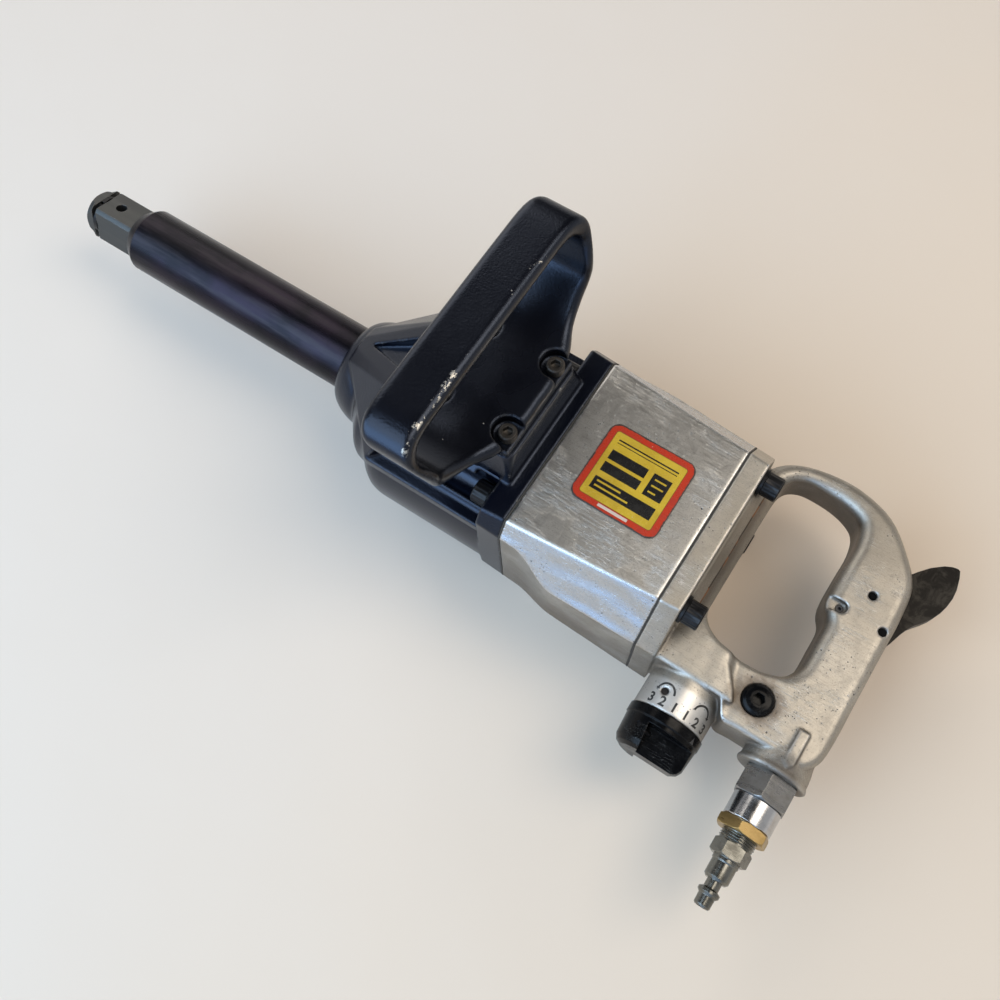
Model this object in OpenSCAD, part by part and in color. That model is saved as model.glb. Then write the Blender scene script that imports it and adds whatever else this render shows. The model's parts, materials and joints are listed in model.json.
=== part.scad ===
// Air impact wrench with a long anvil, D handle and outside trigger lever.
//
// Frame: +X points forward along the spindle, +Y towards the air inlet, +Z up through
// the side handle. The origin is on the spindle axis at the shoulder of the square drive.
// The tool lies on the flat undersides of its hammer case and motor housing.

/* [Anvil] */
// Side of the square drive
drive_side = 25.4; // [19:0.1:32]
// Length of the square drive from its shoulder to its tip
drive_length = 39; // [32:1:50]
// Turn of the square about the spindle at rest
drive_turn = 19; // [0:1:89]
// Diameter of the anvil shank
shank_d = 42; // [38:0.5:44]
// Distance from the drive shoulder back to the nose of the hammer case
anvil_reach = 179; // [60:1:260]

/* [Hammer case] */
// Length of the hammer case from its nose to its rear face
case_length = 146; // [141:1:185]
// Radius of the barrel of the hammer case
barrel_r = 62.5; // [60:0.5:72]
// Height of the handle pad above the spindle axis
pad_height = 77.3; // [72:0.1:92]

/* [Side handle] */
// Width of the loop across its top bar
loop_width = 161; // [130:1:190]
// Height of the top bar above the handle pad
loop_height = 65; // [60:1:90]
// Thickness of the top bar
bar_thickness = 10; // [9:0.5:13]

/* [Motor housing] */
// Length of the motor housing
housing_length = 89; // [86:1:120]
// Half width of the housing at the hammer case
housing_front_w = 62.5; // [60:0.1:66]
// Half width of the housing at its cheeks
housing_cheek_w = 69.6; // [66:0.1:78]
// Half height of the housing, also the rest height of the spindle axis
housing_half_h = 56; // [55:0.5:64]

/* [D handle] */
// Length of the hand opening along the spindle
opening_length = 51; // [46:1:70]
// Depth of the grip along the spindle
grip_depth = 40; // [36:0.5:46]
// Thickness of the grip across the tool
grip_thickness = 33; // [28:0.5:38]

/* [Controls] */
// Diameter of the reverse knob
knob_d = 43.6; // [40:0.2:48]
// Throw of the trigger lever from rest to the stop
lever_throw = 13; // [6:1:14]
// Diameter of the trigger pin and of the stop pin
pin_d = 5; // [4:0.1:6]

/* [Air inlet] */
// Width across the flats of the inlet bushing
bushing_af = 28; // [26:0.5:31]
// Diameter of the chrome sleeve
sleeve_d = 26.8; // [24:0.2:30]
// Width across the flats of the brass reducer
reducer_af = 26; // [23:0.5:28]
// Width across the flats of the air plug
plug_af = 18.5; // [17:0.5:20]

/* [Hidden] */

// Facets on turned shapes
$fn = 96;
// Overlap that joins or cuts shapes cleanly
eps = 0.01;
// Radial gap of a running fit
run_gap = 0.03;
// Gap between parts that are screwed or pressed together
fit_gap = 0.05;
// Gap between parts that move past each other without touching
free_gap = 0.3;

// Stations along the spindle
nose_x = -anvil_reach;
case_rear_x = nose_x - case_length;
flange_t = 15;
flange_x = case_rear_x + flange_t;
gasket_t = 0.8;
housing_front_x = case_rear_x - gasket_t;
housing_rear_x = housing_front_x - housing_length;
backhead_x = housing_rear_x - gasket_t;
backhead_t = 12;
backhead_rear_x = backhead_x - backhead_t;
opening_front_x = backhead_rear_x - 11;
opening_rear_x = opening_front_x - opening_length;
grip_rear_x = opening_rear_x - grip_depth;

// Casting corners: chamfer planes of the housing, above and below
top_flat_w = housing_front_w - 7;
top_tilt = 32.5;
top_yaw = 4.3;
under_edge_z = -21;
under_tilt = -26;
under_yaw = -5.9;

// Air motor
motor_bore_r = 46;
stack_r = motor_bore_r - fit_gap;
front_plate_t = 16;
rear_plate_t = 14;
stack_front_x = housing_front_x - 1;
cylinder_front_x = stack_front_x - front_plate_t;
pilot_length = 8;
stack_rear_x = backhead_x + pilot_length;
rear_plate_front_x = stack_rear_x + rear_plate_t;
rotor_r = 32.2;
cylinder_bore_r = 36;
cylinder_offset = 3.5;
vane_count = 6;
vane_t = 3.8;
vane_depth = 14.5;
front_bearing_bore = 25;
front_bearing_od = 52;
front_bearing_w = 15;
rear_bearing_bore = 20;
rear_bearing_od = 47;
rear_bearing_w = 12;
bearing_gap = 0.02;

// Hammer mechanism
chamber_r = 50;
chamber_front_x = nose_x - 51;
cage_r = 46;
cage_front_x = chamber_front_x - 10;
cage_plate_t = 8;
cage_rear_x = case_rear_x + 16;
hammer_pin_r = 5.5;
hammer_pin_y = 39;
hammer_gap = 1;
hammer_zone_front = cage_front_x - cage_plate_t - hammer_gap;
hammer_zone_rear = cage_rear_x + cage_plate_t + hammer_gap;
hammer_zone = hammer_zone_front - hammer_zone_rear;
hammer_t = (hammer_zone - hammer_gap) / 2;
hammer_ring_r = 37;
hammer_bore_r = 26;
dog_turn = 45;
core_r = 19;
journal_r = 22;
rear_journal_r = 11;
spline_r = 10.5;
spline_teeth = 4;

// Nose
bushing_r = 25;
seal_length = 5;
bushing_front_x = nose_x - seal_length - 1;

// Screws: shank, head and washer sizes
cap_screw_d = 8;
cap_head_d = 14;
cap_head_h = 9.5;
cap_hex = 6;
washer_d = 16;
washer_t = 2;
front_bolt_y = 44;
front_bolt_z = 41.5;
rear_bolt_y = 42.5;
rear_bolt_z = 44.5;
handle_screw_d = 6;
handle_screw_head_d = 10;
handle_screw_head_h = 6;
handle_screw_y = 23;
handle_screw_pitch = 44;
handle_screw_rear_x = case_rear_x + 18;

// Side handle
base_top_z = pad_height + 11.7;
ear_top_z = pad_height + 6;
bar_top_z = pad_height + loop_height;
bar_under_z = bar_top_z - bar_thickness;
base_x = handle_screw_rear_x + handle_screw_pitch / 2;
bar_x = base_x + 12;
bar_half_x = 14.5;
loop_edge_r = 4.2;
pad_half_x = 27.5;
pad_half_y = 33;

// D handle, reverse valve and inlet along their own stations
grip_half_z = grip_thickness / 2;
opening_far_y = -72;
opening_near_y = 42;
ring_far_y = -84.4;
side_wall_y = 66.5;
web_y = 75.6;
valve_block_z = 22;
ring_edge_r = 7;
web_edge_r = 3.2;
boss_end_y = 84.3;
boss_r = 19;
valve_x = opening_front_x - 12;
valve_r = 14;
valve_wall = 2.5;
valve_front_y = 46.5;
valve_boss_r = 21;
valve_boss_y = 89.4;
valve_neck_r = 7;
knob_ring_w = 8;
knob_y = valve_boss_y + 0.4;
knob_grip_y = knob_y + 23;
valve_pin_r = 2;
valve_pin_y = 79;
valve_pin_x = valve_x + valve_neck_r + valve_pin_r + 0.1;
passage_y = 56.3;
passage_r = 6;
port_r = 4;
port_z = 9;
port_x = backhead_x - 6;
detent_r = 2.5;
detent_y = 51;
detent_x = valve_x + valve_r + detent_r + 0.1;
knob_pin_r = 1.5;
knob_pin_turn = 54;
knob_pin_y = knob_y + 11.4;
knob_pin_inner_r = 5.5;
inlet_x = grip_rear_x + 17.6;
plug_x = opening_rear_x + 4.8;
plug_r = 8.8;

// Trigger lever and throttle
trigger_x = grip_rear_x + 6;
trigger_y = -13;
stop_x = grip_rear_x + 19.4;
stop_y = -28.4;
lever_t = 7;
stem_r = 3;
stem_front_y = -0.8;
slot_depth = 24;
// Inner edge of the lever: it meets the stop pin at full throw
stop_edge = (stop_x - trigger_x) * cos(lever_throw) + (stop_y - trigger_y) * sin(lever_throw)
    - pin_d / 2 - free_gap / 2;
guide_y = 36;
guide_length = 11;
guide_r = 8.5;
seat_y = 62;
seat_t = 4;
seat_r = 10.5;
chamber_bore_r = 9;
head_r = 8.2;
head_t = 4;
thread_r = 11;
thread_y = 75;

// ---------------------------------------------------------------- helpers

// Straight round bar along X, Y or Z between two stations
module x_rod(x0, x1, r, y = 0, z = 0) {
    translate([min(x0, x1), y, z]) rotate([0, 90, 0]) cylinder(h = abs(x1 - x0), r = r);
}
module y_rod(y0, y1, r, x = 0, z = 0) {
    translate([x, min(y0, y1), z]) rotate([-90, 0, 0]) cylinder(h = abs(y1 - y0), r = r);
}
module z_rod(z0, z1, r, x = 0, y = 0) {
    translate([x, y, min(z0, z1)]) cylinder(h = abs(z1 - z0), r = r);
}

// Rings along X and Y
module x_ring(x0, x1, outer, inner) {
    difference() {
        x_rod(x0, x1, outer);
        x_rod(min(x0, x1) - 1, max(x0, x1) + 1, inner);
    }
}
module y_ring(y0, y1, outer, inner, x = 0) {
    difference() {
        y_rod(y0, y1, outer, x);
        y_rod(min(y0, y1) - 1, max(y0, y1) + 1, inner, x);
    }
}

// Turned shapes from [station, radius] points, about the X axis and about a Y axis
module x_turn(profile) {
    rotate([0, 90, 0]) rotate_extrude() polygon([for (p = profile) [p[1], p[0]]]);
}
module y_turn(profile, x) {
    translate([x, 0, 0]) rotate([-90, 0, 0])
        rotate_extrude() polygon([for (p = profile) [p[1], p[0]]]);
}

// Hexagon bars along Y and Z by the width across the flats
module y_hex(y0, y1, af, x) {
    translate([x, y0, 0]) rotate([-90, 0, 0]) cylinder(h = y1 - y0, d = af / cos(30), $fn = 6);
}
module z_hex(z0, z1, af, x, y) {
    translate([x, y, z0]) cylinder(h = z1 - z0, d = af / cos(30), $fn = 6);
}

// Socket head cap screw along -Z from its seat, head above, shank below
module cap_screw(d, head_d, head_h, length, hex) {
    difference() {
        union() {
            cylinder(h = head_h, d = head_d);
            translate([0, 0, -length]) cylinder(h = length + eps, d = d);
            translate([0, 0, -length - d / 8]) cylinder(h = d / 8 + eps, d1 = 0.75 * d, d2 = d);
        }
        translate([0, 0, head_h * 0.4]) cylinder(h = head_h, d = hex / cos(30), $fn = 6);
    }
}

// Both signs of y and z for a four-screw pattern along X
module four_corners(y, z) {
    for (sy = [-1, 1]) {
        for (sz = [-1, 1]) translate([0, sy * y, sz * z]) children();
    }
}
module handle_screw_places() {
    for (x = [handle_screw_rear_x, handle_screw_rear_x + handle_screw_pitch]) {
        for (sy = [-1, 1]) translate([x, sy * handle_screw_y, 0]) children();
    }
}

// Catmull-Rom spline through a closed loop of stations, each a vector of any length
function spline_point(a, b, c, d, t) =
    (2 * b + (c - a) * t + (2 * a - 5 * b + 4 * c - d) * t * t
    + (3 * b - a - 3 * c + d) * t * t * t) / 2;
function spline_loop(s, steps) = [
    for (i = [0 : len(s) - 1]) for (k = [0 : steps - 1])
        spline_point(s[(i + len(s) - 1) % len(s)], s[i], s[(i + 1) % len(s)],
            s[(i + 2) % len(s)], k / steps)
];

// Rounded rectangle about its centre, as a closed list of [u, v] points
corner_steps = 5;
function rounded_box(half_u, half_v, r) = [
    for (q = [0 : 3]) for (k = [0 : corner_steps])
        let (a = 90 * q + 90 * k / corner_steps)
        [
            (q == 0 || q == 3 ? 1 : -1) * (half_u - r) + r * cos(a),
            (q < 2 ? 1 : -1) * (half_v - r) + r * sin(a)
        ]
];

// Closed ring lofted through sections, each a list of the same number of points
module loft_ring(sections) {
    m = len(sections);
    n = len(sections[0]);
    points = [for (s = sections) each s];
    faces = [
        for (i = [0 : m - 1]) for (j = [0 : n - 1]) each [
            [i * n + j, ((i + 1) % m) * n + (j + 1) % n, i * n + (j + 1) % n],
            [i * n + j, ((i + 1) % m) * n + j, ((i + 1) % m) * n + (j + 1) % n]
        ]
    ];
    polyhedron(points = points, faces = faces, convexity = 8);
}

// Helical spring along +Z from its lower end
module coil_spring(mean_r, wire_r, length, turns, sides = 8, per_turn = 16) {
    n = turns * per_turn;
    rise = length - 2 * wire_r;
    points = [
        for (i = [0 : n]) for (j = [0 : sides - 1])
            let (a = i * 360 / per_turn, b = j * 360 / sides,
                r = mean_r + wire_r * cos(b),
                z = wire_r + rise * i / n + wire_r * sin(b))
            [r * cos(a), r * sin(a), z]
    ];
    faces = concat(
        [[for (j = [sides - 1 : -1 : 0]) j]],
        [for (i = [0 : n - 1]) for (j = [0 : sides - 1]) each [
            [i * sides + j, (i + 1) * sides + (j + 1) % sides, (i + 1) * sides + j],
            [i * sides + j, i * sides + (j + 1) % sides, (i + 1) * sides + (j + 1) % sides]
        ]],
        [[for (j = [0 : sides - 1]) n * sides + j]]
    );
    polyhedron(points = points, faces = faces, convexity = 8);
}

// Ball bearing parts about the X axis
module bearing_ring(x0, width, r_in, r_out, track_r, ball_r) {
    difference() {
        x_ring(x0, x0 + width, r_out, r_in);
        translate([x0 + width / 2, 0, 0]) rotate([0, 90, 0])
            rotate_extrude() translate([track_r, 0]) circle(r = ball_r + 0.1, $fn = 32);
    }
}
module bearing_balls(x0, width, track_r, ball_r, count) {
    for (i = [0 : count - 1]) {
        rotate([i * 360 / count, 0, 0]) translate([x0 + width / 2, 0, track_r]) sphere(r = ball_r);
    }
}

// ---------------------------------------------------------------- castings

// Half width of the housing at a station: straight, then a swell out to the cheeks
function swell(t) = t <= 0 ? 0 : t >= 1 ? 1 : t * t * (3 - 2 * t);
function half_width(x) =
    housing_front_w
    + (housing_cheek_w - housing_front_w) * swell((housing_front_x - 9 - x) / 28)
    - 1.6 * max(0, (housing_front_x - 37 - x) / 53);

// Cuts the four long corners with sloping planes that open to the rear
module corner_cuts() {
    for (side = [0, 1]) mirror([0, side, 0]) {
        translate([housing_front_x, top_flat_w, housing_half_h])
            rotate([0, 0, top_yaw]) rotate([top_tilt, 0, 0])
                translate([-400, 0, -200]) cube([800, 100, 400]);
        translate([housing_front_x, housing_front_w, under_edge_z])
            rotate([0, 0, under_yaw]) rotate([under_tilt, 0, 0])
                translate([-400, 0, -200]) cube([800, 100, 400]);
    }
}

// Block with the outer shape of housing, backhead and flange between two stations
module body_block(x0, x1, steps) {
    xs = [for (i = [0 : steps]) x0 + (x1 - x0) * i / steps];
    outline = concat(
        [for (x = xs) [x, half_width(x)]],
        [for (i = [steps : -1 : 0]) [xs[i], -half_width(xs[i])]]
    );
    difference() {
        translate([0, 0, -housing_half_h]) linear_extrude(2 * housing_half_h) polygon(outline);
        corner_cuts();
    }
}

module front_bolt_places() {
    four_corners(front_bolt_y, front_bolt_z) children();
}
module rear_bolt_places() {
    four_corners(rear_bolt_y, rear_bolt_z) children();
}

// Turned outer shape of the hammer case
case_profile = [
    [nose_x, 0], [nose_x, 26.2], [nose_x - 1.2, 28], [nose_x - 3.5, 29.9], [nose_x - 7, 31.8],
    [nose_x - 10, 33], [nose_x - 13, 34], [nose_x - 16, 34.6], [nose_x - 19, 34.8],
    [nose_x - 21, 36], [nose_x - 31, 48.6], [nose_x - 33.5, 50.4], [nose_x - 39, 51.8],
    [nose_x - 42, 53.5], [nose_x - 47, barrel_r - 4.2], [nose_x - 51, barrel_r - 1.6],
    [nose_x - 55, barrel_r - 0.4], [nose_x - 59, barrel_r], [flange_x - 2, barrel_r],
    [flange_x - 2, 0]
];

// Half outlines across the spindle, mirrored to a closed slice that points along X
module cross_slice(x, t, half) {
    n = len(half);
    translate([x, 0, 0]) rotate([90, 0, 90]) linear_extrude(t)
        polygon(concat(half, [for (i = [n - 1 : -1 : 0]) [-half[i][0], half[i][1]]]));
}

// Deck along both sides of the barrel, and the nose that rises from the collar to the pad
deck_y = barrel_r - 2.2;
deck_z = 33;
deck_front_x = nose_x - 53;
pad_front_x = base_x + pad_half_x + 2;
module deck() {
    cross_slice(flange_x - 1, deck_front_x - flange_x + 1,
        [[deck_y, deck_z - 8], [deck_y, deck_z], [50, deck_z + 1], [pad_half_y + 3, 50]]);
}
module nose_wedge() {
    hull() {
        cross_slice(nose_x - 8, 1, [[13, 20], [13, 30.5], [4, 33]]);
        cross_slice(nose_x - 16, 1, [[18, 22], [18, 29.2]]);
        cross_slice(deck_front_x, 0.1, [[deck_y, deck_z - 8], [deck_y, deck_z]]);
        cross_slice(pad_front_x, 1, [[pad_half_y + 1, 50], [pad_half_y, pad_height - 1]]);
    }
}

// Sunk triangle between the two ribs of the nose
module rib_pocket() {
    tip_x = nose_x - 18;
    rear_x = chamber_front_x + 1;
    hull() {
        translate([tip_x, -0.6, 36.4]) cube([0.1, 1.2, 40]);
        translate([rear_x, -12, 50.5]) cube([0.1, 24, 30]);
    }
}

module case_outside() {
    intersection() {
        x_turn(case_profile);
        translate([case_rear_x, -100, -housing_half_h]) cube([case_length + 1, 200, 200]);
    }
    body_block(flange_x, case_rear_x, 1);
    deck();
    nose_wedge();
    hull() {
        translate([base_x - pad_half_x - 2, 0, 0]) for (sy = [-1, 1], dx = [6, 2 * pad_half_x - 4])
            translate([dx, sy * (pad_half_y - 6), pad_height - 1]) cylinder(h = 1, r = 6, $fn = 32);
        translate([base_x - pad_half_x - 4, -pad_half_y - 4, 54])
            cube([2 * pad_half_x + 5, 2 * pad_half_y + 8, 1]);
    }
}

module hammer_case() {
    color("#1b1d21") difference() {
        case_outside();
        rib_pocket();
        x_rod(nose_x + 1, nose_x - seal_length, bushing_r);
        x_rod(nose_x, chamber_front_x - 1, bushing_r - 0.5);
        x_rod(bushing_front_x + eps, chamber_front_x - 1, bushing_r + fit_gap);
        x_rod(chamber_front_x, case_rear_x - 1, chamber_r);
        front_bolt_places() {
            x_rod(case_rear_x - 1, flange_x + 20, cap_screw_d / 2 + 0.2);
            x_rod(flange_x, flange_x + 34, cap_head_d / 2 + 0.9);
        }
        for (side = [0, 1]) mirror([0, side, 0])
            translate([flange_x, front_bolt_y - cap_head_d / 2 - 0.9, front_bolt_z])
                cube([15, cap_head_d + 12, 40]);
        handle_screw_places() z_rod(pad_height - 16, pad_height + 1, handle_screw_d / 2 + fit_gap);
    }
}

// Stations of the side handle loop from the top of the bar down one side to the base:
// inner y and z, outer y and z, centre x, half width along x
function spread(w, share) = pad_half_y + 3 + share * (w - pad_half_y - 3);
function loop_half(w) = [
    [0, bar_under_z, 0, bar_top_z, bar_x, bar_half_x],
    [w - 39, bar_under_z, w - 38, bar_top_z, bar_x, bar_half_x],
    [w - 18, bar_under_z, w - 14, bar_top_z - 0.2, bar_x - 0.5, bar_half_x],
    [w - 9.8, bar_under_z - 3.4, w - 3.6, bar_top_z - 3.6, bar_x - 2.5, bar_half_x],
    [w - 7.5, bar_under_z - 9, w - 0.4, bar_top_z - 12, bar_x - 5.5, bar_half_x],
    [w - 11.5, base_top_z + 24, w - 6, base_top_z + 22, bar_x - 9.2, bar_half_x + 1.7],
    [spread(w, 0.66), base_top_z + 15.5, spread(w, 0.8), base_top_z + 11, bar_x - 9.3,
        bar_half_x + 2.2],
    [spread(w, 0.45), base_top_z + 8.5, spread(w, 0.58), base_top_z + 2.5, bar_x - 9.2,
        bar_half_x + 3.2],
    [spread(w, 0.18), base_top_z + 3, spread(w, 0.29), base_top_z - 3.2, bar_x - 9.8,
        bar_half_x + 5.6],
    [30, base_top_z + 0.3, 36, base_top_z - 8, base_x + 0.5, pad_half_x - 3],
    [12, base_top_z, 14, pad_height, base_x, pad_half_x],
];
loop_stations = let (h = loop_half(loop_width / 2), n = len(h)) concat(
    h,
    [[0, base_top_z, 0, pad_height, base_x, pad_half_x]],
    [for (i = [n - 1 : -1 : 1]) [-h[i][0], h[i][1], -h[i][2], h[i][3], h[i][4], h[i][5]]]
);

// Rounded section between an inner and an outer point, its width along x
function loop_section(s) = let (
    half_wall = norm([s[2] - s[0], s[3] - s[1]]) / 2,
    dir = [s[2] - s[0], s[3] - s[1]] / (2 * half_wall)
) [
    for (p = rounded_box(half_wall, s[5], min(loop_edge_r, half_wall - 0.4)))
        [s[4] + p[1], (s[0] + s[2]) / 2 + dir[0] * p[0], (s[1] + s[3]) / 2 + dir[1] * p[0]]
];

module side_handle() {
    notch_r = handle_screw_head_d / 2 + 3.6;
    color("#17181a") difference() {
        union() {
            loft_ring([for (s = spline_loop(loop_stations, 4)) loop_section(s)]);
            translate([base_x - pad_half_x, -pad_half_y + 1, pad_height])
                cube([2 * pad_half_x, 2 * pad_half_y - 2, ear_top_z - pad_height - 1]);
        }
        handle_screw_places() {
            z_rod(pad_height - 1, pad_height + 20, handle_screw_d / 2 + 0.25);
            z_rod(ear_top_z - 1, pad_height + 22, notch_r);
        }
        for (sy = [-1, 1])
            translate([handle_screw_rear_x - 40, sy * handle_screw_y - notch_r, ear_top_z - 1])
                cube([40, 2 * notch_r, 30]);
        translate([base_x - 60, -60, pad_height - 20]) cube([120, 120, 20]);
    }
}

// D handle ring, seen from above: inner x and y, outer x and y, half thickness, edge radius
ring_stations = let (
    f = opening_front_x, b = opening_rear_x, g = grip_rear_x,
    far = opening_far_y, near = opening_near_y, t = grip_half_z
) [
    [f, -15, f + 19, -15, t - 0.5, ring_edge_r],
    [f, -45, f + 19, -47, t - 0.5, ring_edge_r],
    [f - 1.5, far + 8, f + 11, far + 4, t - 1.5, ring_edge_r],
    [f - 10, far + 0.5, f - 2, far - 7, t - 2.5, ring_edge_r],
    [(f + b) / 2 + 2, far, (f + b) / 2 + 2, ring_far_y, t - 2.5, ring_edge_r],
    [b + 13.5, far + 2.2, b + 8.5, ring_far_y + 0.7, t - 1.5, ring_edge_r],
    [b + 3.5, far + 8, b - 10.5, ring_far_y + 7.4, t - 1, ring_edge_r],
    [b, far + 20, b - 26, ring_far_y + 21.4, t - 0.5, ring_edge_r],
    [b, far + 35, g + 2.5, ring_far_y + 38, t, ring_edge_r],
    [b, far + 52, g, -25, t, ring_edge_r],
    [b - 1.5, -11, g, -11, t, ring_edge_r],
    [b - 6, -3, g, -3, t, ring_edge_r],
    [b - 6.5, 10, g, 12, t, ring_edge_r],
    [b - 6.5, near - 18, g, 32, t, ring_edge_r],
    [b - 4.5, near - 11, g, 52, t + 0.5, ring_edge_r],
    [b - 1, near - 5.5, g + 2, web_y - 8, t + 1, ring_edge_r - 1.5],
    [b + 4, near - 2.5, g + 10, web_y, t + 1, web_edge_r],
    [b + 11, near - 0.5, g + 24, web_y, t + 1, web_edge_r],
    [b + 20, near, b + 6, web_y, t + 1, web_edge_r],
    [f - 26, near - 0.2, f - 35, web_y, t + 1.2, web_edge_r],
    [f - 21, near - 0.7, f - 28, side_wall_y, valve_block_z - 0.3, web_edge_r],
    [f - 13, near - 2.2, f - 14, side_wall_y - 0.5, valve_block_z, web_edge_r],
    [f - 6, near - 6, f + 4, side_wall_y - 1, valve_block_z, web_edge_r + 1],
    [f - 1, near - 13, f + 19, side_wall_y - 8, valve_block_z - 1, ring_edge_r - 1],
    [f, near - 26, f + 19, near - 24, t + 0.5, ring_edge_r],
];
function ring_section(s) = let (
    half_w = norm([s[2] - s[0], s[3] - s[1]]) / 2,
    dir = [s[2] - s[0], s[3] - s[1]] / (2 * half_w)
) [
    for (p = rounded_box(half_w, s[4], min(s[5], half_w - 0.5)))
        [(s[0] + s[2]) / 2 + dir[0] * p[0], (s[1] + s[3]) / 2 + dir[1] * p[0], p[1]]
];

// Raised block over the reverse valve, with rounded upper and lower edges
module valve_block() {
    f = opening_front_x;
    outline = [
        [backhead_rear_x + 1, opening_near_y + 4], [f - 23, opening_near_y + 4],
        [f - 33, side_wall_y - 7], [f - 35.5, side_wall_y - 1.5], [f - 34.5, side_wall_y],
        [backhead_rear_x + 1, side_wall_y]
    ];
    edge_r = 2.4;
    hull() for (k = [0 : 4]) {
        inset = edge_r * (1 - cos(k * 22.5));
        half_z = valve_block_z - edge_r * (1 - sin(k * 22.5));
        translate([0, 0, -half_z]) linear_extrude(2 * half_z) offset(delta = -inset) polygon(outline);
    }
}

// Bare raised pad along the top of the inlet boss, pointed towards the boss end
module boss_pad() {
    half_w = 3;
    y0 = side_wall_y - 8.5;
    y1 = boss_end_y - 7.5;
    x = inlet_x - 1.4;
    linear_extrude(boss_r + 0.7)
        polygon([[x - half_w, y0], [x + half_w, y0], [x + half_w, y1], [x, y1 + half_w], [x - half_w, y1]]);
}

// Air drillings: inlet to passage, passage to reverse valve, valve to the motor
module air_drillings() {
    x_rod(inlet_x, valve_x, passage_r, passage_y);
    y_rod(guide_y + guide_length - eps, seat_y, chamber_bore_r, inlet_x);
    for (sz = [-1, 1]) {
        x_rod(valve_x, port_x, port_r, passage_y, sz * port_z);
        y_rod(33, passage_y, port_r, port_x, sz * port_z);
        x_rod(port_x, backhead_x + pilot_length + 1, port_r, 33, sz * port_z);
    }
}

module handle_casting() {
    screw_seat_r = washer_d / 2 + 0.8;
    color("#b9b7b1") difference() {
        union() {
            body_block(backhead_x, backhead_rear_x, 1);
            x_ring(backhead_x, backhead_x + pilot_length, stack_r, 38);
            hull() {
                translate([backhead_rear_x - 1, -34, -44]) cube([2, 68, 88]);
                translate([opening_front_x, -52, -grip_half_z + 3])
                    cube([2, 90, grip_thickness - 6]);
            }
            loft_ring([for (s = spline_loop(ring_stations, 4)) ring_section(s)]);
            valve_block();
            y_rod(side_wall_y - 5, valve_boss_y, valve_boss_r, valve_x);
            y_turn([
                [side_wall_y - 12, 0], [side_wall_y - 12, boss_r - 5], [side_wall_y - 5, boss_r - 3],
                [side_wall_y + 1, boss_r - 1.6], [web_y - 2, boss_r - 0.5], [web_y + 2, boss_r],
                [boss_end_y - 3.4, boss_r], [boss_end_y - 2.4, boss_r + 0.9],
                [boss_end_y - 0.8, boss_r + 0.9], [boss_end_y, boss_r], [boss_end_y, 0]
            ], grip_rear_x + boss_r);
            boss_pad();
        }
        x_rod(backhead_x + 1, backhead_x - 6, 12);
        air_drillings();
        y_rod(valve_front_y, valve_boss_y + 1, valve_r + valve_wall + fit_gap, valve_x);
        y_rod(guide_y - eps, guide_y + guide_length, guide_r + fit_gap, inlet_x);
        y_rod(stem_front_y - 6, guide_y + 1, stem_r + 0.5, inlet_x);
        y_rod(seat_y, thread_y, seat_r + fit_gap, inlet_x);
        y_rod(thread_y - 5, boss_end_y + 1, thread_r + fit_gap, inlet_x);
        z_rod(0, 40, plug_r + fit_gap, plug_x, passage_y);
        x_rod(detent_x - detent_r, backhead_x + 1, detent_r + 0.1, detent_y);
        z_rod(-14, 30, valve_pin_r + fit_gap, valve_pin_x, valve_pin_y);
        translate([grip_rear_x - 10, opening_far_y - 4, -lever_t / 2 - 0.7])
            cube([slot_depth + 10, 4 - opening_far_y + stem_front_y + 3, lever_t + 1.4]);
        z_rod(-30, 30, pin_d / 2 + fit_gap, trigger_x, trigger_y);
        z_rod(-30, 30, pin_d / 2 + fit_gap, stop_x, stop_y);
        z_rod(grip_half_z - 4, 30, 3.6, opening_rear_x - 9, trigger_y - 0.6);
        translate([opening_rear_x - 9, trigger_y - 4.2, grip_half_z - 4]) cube([20, 7.2, 20]);
        z_rod(4, 30, 2 + fit_gap, opening_rear_x - 9, trigger_y - 0.6);
        rear_bolt_places() {
            x_rod(backhead_x + 1, backhead_rear_x - 40, cap_screw_d / 2 + 0.2);
            x_rod(backhead_rear_x, backhead_rear_x - 40, screw_seat_r);
        }
    }
}

module motor_housing() {
    color("#c4c2bc") difference() {
        body_block(housing_front_x, housing_rear_x, 30);
        x_rod(housing_front_x + 1, housing_rear_x - 1, motor_bore_r);
        front_bolt_places() x_rod(housing_front_x + 1, housing_front_x - 26, cap_screw_d / 2 + fit_gap);
        rear_bolt_places() x_rod(housing_rear_x - 1, housing_rear_x + 42, cap_screw_d / 2 + fit_gap);
        for (i = [-2 : 2]) translate([(cylinder_front_x + rear_plate_front_x) / 2 + 9 * i, 0, 0])
            z_rod(-housing_half_h - 1, 0, 3);
    }
}

// Thin gasket with the outline of the joint, its bore and screw holes
module gasket(x0, x1, bore) {
    difference() {
        body_block(x0, x1, 1);
        x_rod(x0 + 1, x1 - 1, bore);
        children();
    }
}
module front_gasket() {
    color("#3a3835") gasket(case_rear_x, housing_front_x, motor_bore_r + 1)
        front_bolt_places() x_rod(case_rear_x + 1, housing_front_x - 1, cap_screw_d / 2 + 0.3);
}
module rear_gasket() {
    color("#3a3835") gasket(housing_rear_x, backhead_x, motor_bore_r + 0.3) {
        rear_bolt_places() x_rod(housing_rear_x + 1, backhead_x - 1, cap_screw_d / 2 + 0.3);
        x_rod(housing_rear_x + 1, backhead_x - 1, detent_r + 0.1, detent_y);
    }
}

module label_plate() {
    label_l = 52.5;
    label_w = 50;
    corner = 6;
    color("#c23a26") translate([(housing_front_x + housing_rear_x) / 2 - 0.4, -1, housing_half_h])
        linear_extrude(0.6) offset(r = corner)
            square([label_l - 2 * corner, label_w - 2 * corner], center = true);
}

// ---------------------------------------------------------------- anvil and nose

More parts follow.
